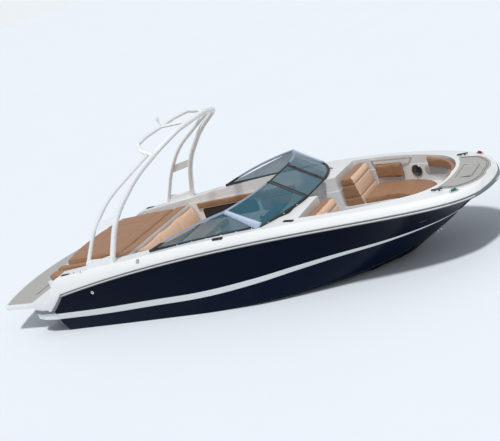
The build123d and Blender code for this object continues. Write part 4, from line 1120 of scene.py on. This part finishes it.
# Deck and side fittings. A plate's measures are its length, width, thickness, corner and rim;
# it starts SUNK below its place.
SUNK = 0.002
NAV_LIGHT = (6.24, 0.585, 1.4)
NAV_TURN = 0.75
NAV_BASE = (0.12, 0.05, 0.012, 0.024, 0.004)
NAV_LENS = (0.072, 0.036, 0.024, 0.018, 0.010)
NAV_LENS_LIFT = 0.008

# The bow mat's front edge from its corner over its shoulder to its tip, and its straight side
MAT_CORNER = (6.22, -0.5)
MAT_SHOULDER = (6.418, -0.33)
MAT_TIP_X = 6.475
MAT_SIDE_XS = [6.03 + 0.019 * i for i in range(10)]
MAT_INSETS = (0.026, 0.046)
MAT_LINE_RADIUS = 0.0028

THROUGH_HULL_AT = (0.896, -2.0, 0.616)
THROUGH_HULL = [(0.026, -0.002), (0.026, 0.004), (0.02, 0.008), (0.014, 0.006), (0.012, -0.002)]
CAP = [(1, -0.003), (1, 0.002), (0.93, 0.0045), (0.8, 0.0045), (0.76, 0.0025), (0.3, 0.0025),
       (0.26, 0.005), (0, 0.005)]
CAPS = [("filler_cap", (1.89, -1.235, 1.6), 0.034), ("vent_cap_aft", (0.62, -1.17, 1.6), 0.017),
        ("vent_cap_fore", (0.79, -1.195, 1.6), 0.02)]
VENT_AT = (4.22, -0.985, 1.6)
VENT_PLATE = (0.17, 0.052, 0.010, 0.026, 0.004)
VENT_SLAT = (0.034, 0.008, 0.003, 0.004, 0.001)
VENT_SLAT_LIFT = 0.0085
VENT_LEAN = 0.18


def make_nav_light(sign, label):
    x, y, z = NAV_LIGHT
    place, normal = dropped("deck", (x, sign * y, z), DOWNWARD)
    along = Vector((1, -sign * NAV_TURN, 0))
    form = bmesh.new()
    rounded_plate(form, place - normal * SUNK, normal, along, *NAV_BASE)
    detail(f"nav_base_{label}", form, *STEEL)
    form = bmesh.new()
    rounded_plate(form, place + normal * NAV_LENS_LIFT, normal, along, *NAV_LENS)
    detail(f"nav_lens_{label}", form, "glass_tint", lens_green if sign < 0 else lens_red)


def make_mat_lines():
    """Dark double border round the bow mat's front."""
    form = bmesh.new()
    for inset in MAT_INSETS:
        front = arc_through((MAT_CORNER[0], MAT_CORNER[1] + inset, 0),
                            (MAT_SHOULDER[0] - inset * 0.8, MAT_SHOULDER[1] + inset * 0.55, 0),
                            (MAT_TIP_X - inset, 0, 0), 20)
        nose = [(p.x, p.y) for p in front] + [(p.x, -p.y) for p in reversed(front[:-1])]
        side = [(x, nose[0][1]) for x in MAT_SIDE_XS]
        plan = side + nose + [(x, -y) for x, y in reversed(side)]
        sweep(form, line_on("bow_mat", plan), MAT_LINE_RADIUS, 6)
    detail("mat_lines", form, *DARK_LINE)


def make_through_hull():
    place, normal = dropped("hull", THROUGH_HULL_AT, (0, 1, 0))
    turned("through_hull", place, normal, THROUGH_HULL, 24, *STEEL)


def make_deck_fittings():
    """Filler and vent caps on the starboard deck, and the vent ahead of the windshield."""
    for name, at, radius in CAPS:
        place, normal = dropped("deck", at, DOWNWARD)
        if place is not None:
            turned(name, place, normal, scaled(CAP, radius), 28, *STEEL)
    place, normal = dropped("deck", VENT_AT, DOWNWARD)
    form = bmesh.new()
    rounded_plate(form, place - normal * SUNK, normal, (1, -VENT_LEAN, 0), *VENT_PLATE)
    for k in range(-2, 3):
        middle = place + Vector((0.026 * k, -0.0047 * k, 0)) + normal * VENT_SLAT_LIFT
        rounded_plate(form, middle, normal, (VENT_LEAN, 1, 0), *VENT_SLAT)
    detail("deck_vent", form, *BLACK)


both(make_nav_light)
make_mat_lines()
make_through_hull()
make_deck_fittings()

# The helm: a screen, two dials and switches on the hood, and the wheel's hub. The hood's two
# faces look along HOOD_UP and HOOD_LOW.
HOOD_UP = Vector((-0.669, 0, 0.743))
HOOD_AT = Vector((3.65, 0, 1.03))
HOOD_LOW = Vector((-0.918, 0, 0.397))
ASIDE = Vector((0, 1, 0))
DIAL_OFF = 0.2
DIAL_RING = [(0.05, -0.002), (0.05, 0.008), (0.046, 0.011), (0.043, 0.009), (0.042, 0.004)]
DIAL_FACE = [(0.0425, 0.0), (0.0425, 0.0045), (0, 0.0045)]
DIAL_MARKS = 11
MARK_FROM, MARK_STEP = 150, 24
MARK_IN, MARK_OUT, MARK_HIGH = 0.031, 0.038, 0.0052
NEEDLE_ANGLE = 2.2
NEEDLE_LENGTH, NEEDLE_HIGH = 0.028, 0.0065
BEZEL = (0.25, 0.112, 0.012, 0.014, 0.003)
SCREEN = (0.222, 0.088, 0.0035, 0.004, 0.001)
SCREEN_LIFT = 0.008
SWITCH = (0.024, 0.017, 0.006, 0.003, 0.002)
SWITCH_X = 3.3
SWITCH_YS = (-0.37, -0.404)
SWITCH_ZS = (0.872, 0.898, 0.924)
WHEEL_LEAN = math.radians(30)
WHEEL_AT = Vector((3.47, HELM_Y, 0.8))
WHEEL_RADIUS = 0.16
STITCHES = 72
STITCH_HALF = 0.0022
STITCH_RADIUS = 0.0012
HUB_RING = [(0.040, 0.012), (0.040, 0.019), (0.034, 0.025), (0.031, 0.0245), (0.030, 0.0215),
            (0, 0.0215)]
HUB_CAP = [(0.0305, 0.02), (0.0305, 0.0235), (0.02, 0.027), (0, 0.028)]


def on_hood(y):
    start = HOOD_AT + Vector((0, y, 0)) + HOOD_UP * 0.2
    return dropped("dash", start, -HOOD_UP)[0]


def make_dial(side):
    at = on_hood(HELM_Y + side * DIAL_OFF)
    label = side + 2
    turned(f"dial_ring_{label}", at, HOOD_UP, DIAL_RING, 36, *STEEL)
    turned(f"dial_face_{label}", at, HOOD_UP, DIAL_FACE, 36, *BLACK)
    form = bmesh.new()
    turn = UP.rotation_difference(HOOD_UP).to_matrix()
    low, high = at + HOOD_UP * MARK_HIGH, at + HOOD_UP * NEEDLE_HIGH
    for k in range(DIAL_MARKS):
        angle = math.radians(MARK_FROM - MARK_STEP * k)
        out = turn @ Vector((math.cos(angle), math.sin(angle), 0))
        sweep(form, [low + out * MARK_IN, low + out * MARK_OUT], 0.0009, 5)
    needle = turn @ Vector((math.cos(NEEDLE_ANGLE), math.sin(NEEDLE_ANGLE), 0))
    sweep(form, [high, high + needle * NEEDLE_LENGTH], 0.0011, 5)
    detail(f"dial_marks_{label}", form, "polished_steel", dial_white)


def make_instruments():
    centre = on_hood(HELM_Y)
    form = bmesh.new()
    rounded_plate(form, centre - HOOD_UP * SUNK, HOOD_UP, ASIDE, *BEZEL)
    detail("screen_bezel", form, *BLACK)
    form = bmesh.new()
    rounded_plate(form, centre + HOOD_UP * SCREEN_LIFT, HOOD_UP, ASIDE, *SCREEN)
    detail("screen_glass", form, "black_plastic", screen_black)
    for side in (-1, 1):
        make_dial(side)
    form = bmesh.new()
    for y in SWITCH_YS:
        for z in SWITCH_ZS:
            at, _ = dropped("dash", (SWITCH_X, y, z), (1, 0, 0))
            rounded_plate(form, at - HOOD_LOW * 0.001, HOOD_LOW, ASIDE, *SWITCH)
    detail("rocker_switches", form, "black_plastic", screen_black)


def make_wheel_hub():
    back = Vector((-math.cos(WHEEL_LEAN), 0, math.sin(WHEEL_LEAN)))
    up = Vector((math.sin(WHEEL_LEAN), 0, math.cos(WHEEL_LEAN)))
    turned("wheel_hub_ring", WHEEL_AT, back, HUB_RING, 36, *STEEL, "wheel")
    turned("wheel_hub_cap", WHEEL_AT, back, HUB_CAP, 36, *BLACK, "wheel")
    form = bmesh.new()
    for k in range(STITCHES):
        angle = FULL_TURN * k / STITCHES
        out = ASIDE * math.cos(angle) + up * math.sin(angle)
        run = up * math.cos(angle) - ASIDE * math.sin(angle)
        middle = WHEEL_AT + out * WHEEL_RADIUS + back * 0.0002
        sweep(form, [middle - run * STITCH_HALF, middle + run * STITCH_HALF], STITCH_RADIUS, 5)
    detail("wheel_stitches", form, "black_plastic", shade_panel, "wheel")


LATCH_AT = (4.02, 0, 0.5)
LATCH = [(0.024, -0.002), (0.024, 0.003), (0.02, 0.005), (0.014, 0.003), (0, 0.0025)]


def make_latch(sign, label):
    """A latch on the console's walkway door."""
    place, normal = dropped(f"{label}_console", LATCH_AT, (0, sign, 0))
    if place is not None:
        turned(f"door_latch_{label}", place, normal, LATCH, 24, *STEEL)


PLATFORM_FRONT = -0.78
PLATFORM_HALF = 0.8
PLATFORM_INSETS = (0.03, 0.05)
FLOOR_XS = [2.12 + 0.04 * i for i in range(29)]
FLOOR_Y = 0.25
BORDER_RADIUS = 0.0026


def make_mat_borders():
    """Dark border lines on the platform and the cockpit floor."""
    form = bmesh.new()
    lines = []
    for inset in PLATFORM_INSETS:
        half = PLATFORM_HALF - inset
        lines.append(("platform_mat", [(PLATFORM_FRONT + inset, half - 2 * half * i / 30)
                                       for i in range(31)]))
    for y in (-FLOOR_Y, FLOOR_Y):
        lines.append(("floor_mat", [(x, y) for x in FLOOR_XS]))
    for node, line in lines:
        spots = line_on(node, line)
        if len(spots) > 3:
            sweep(form, spots, BORDER_RADIUS, 6)
    detail("mat_borders", form, *DARK_LINE)


make_instruments()
make_wheel_hub()
both(make_latch)
make_mat_borders()

bpy.context.scene.view_settings.view_transform = "Standard"
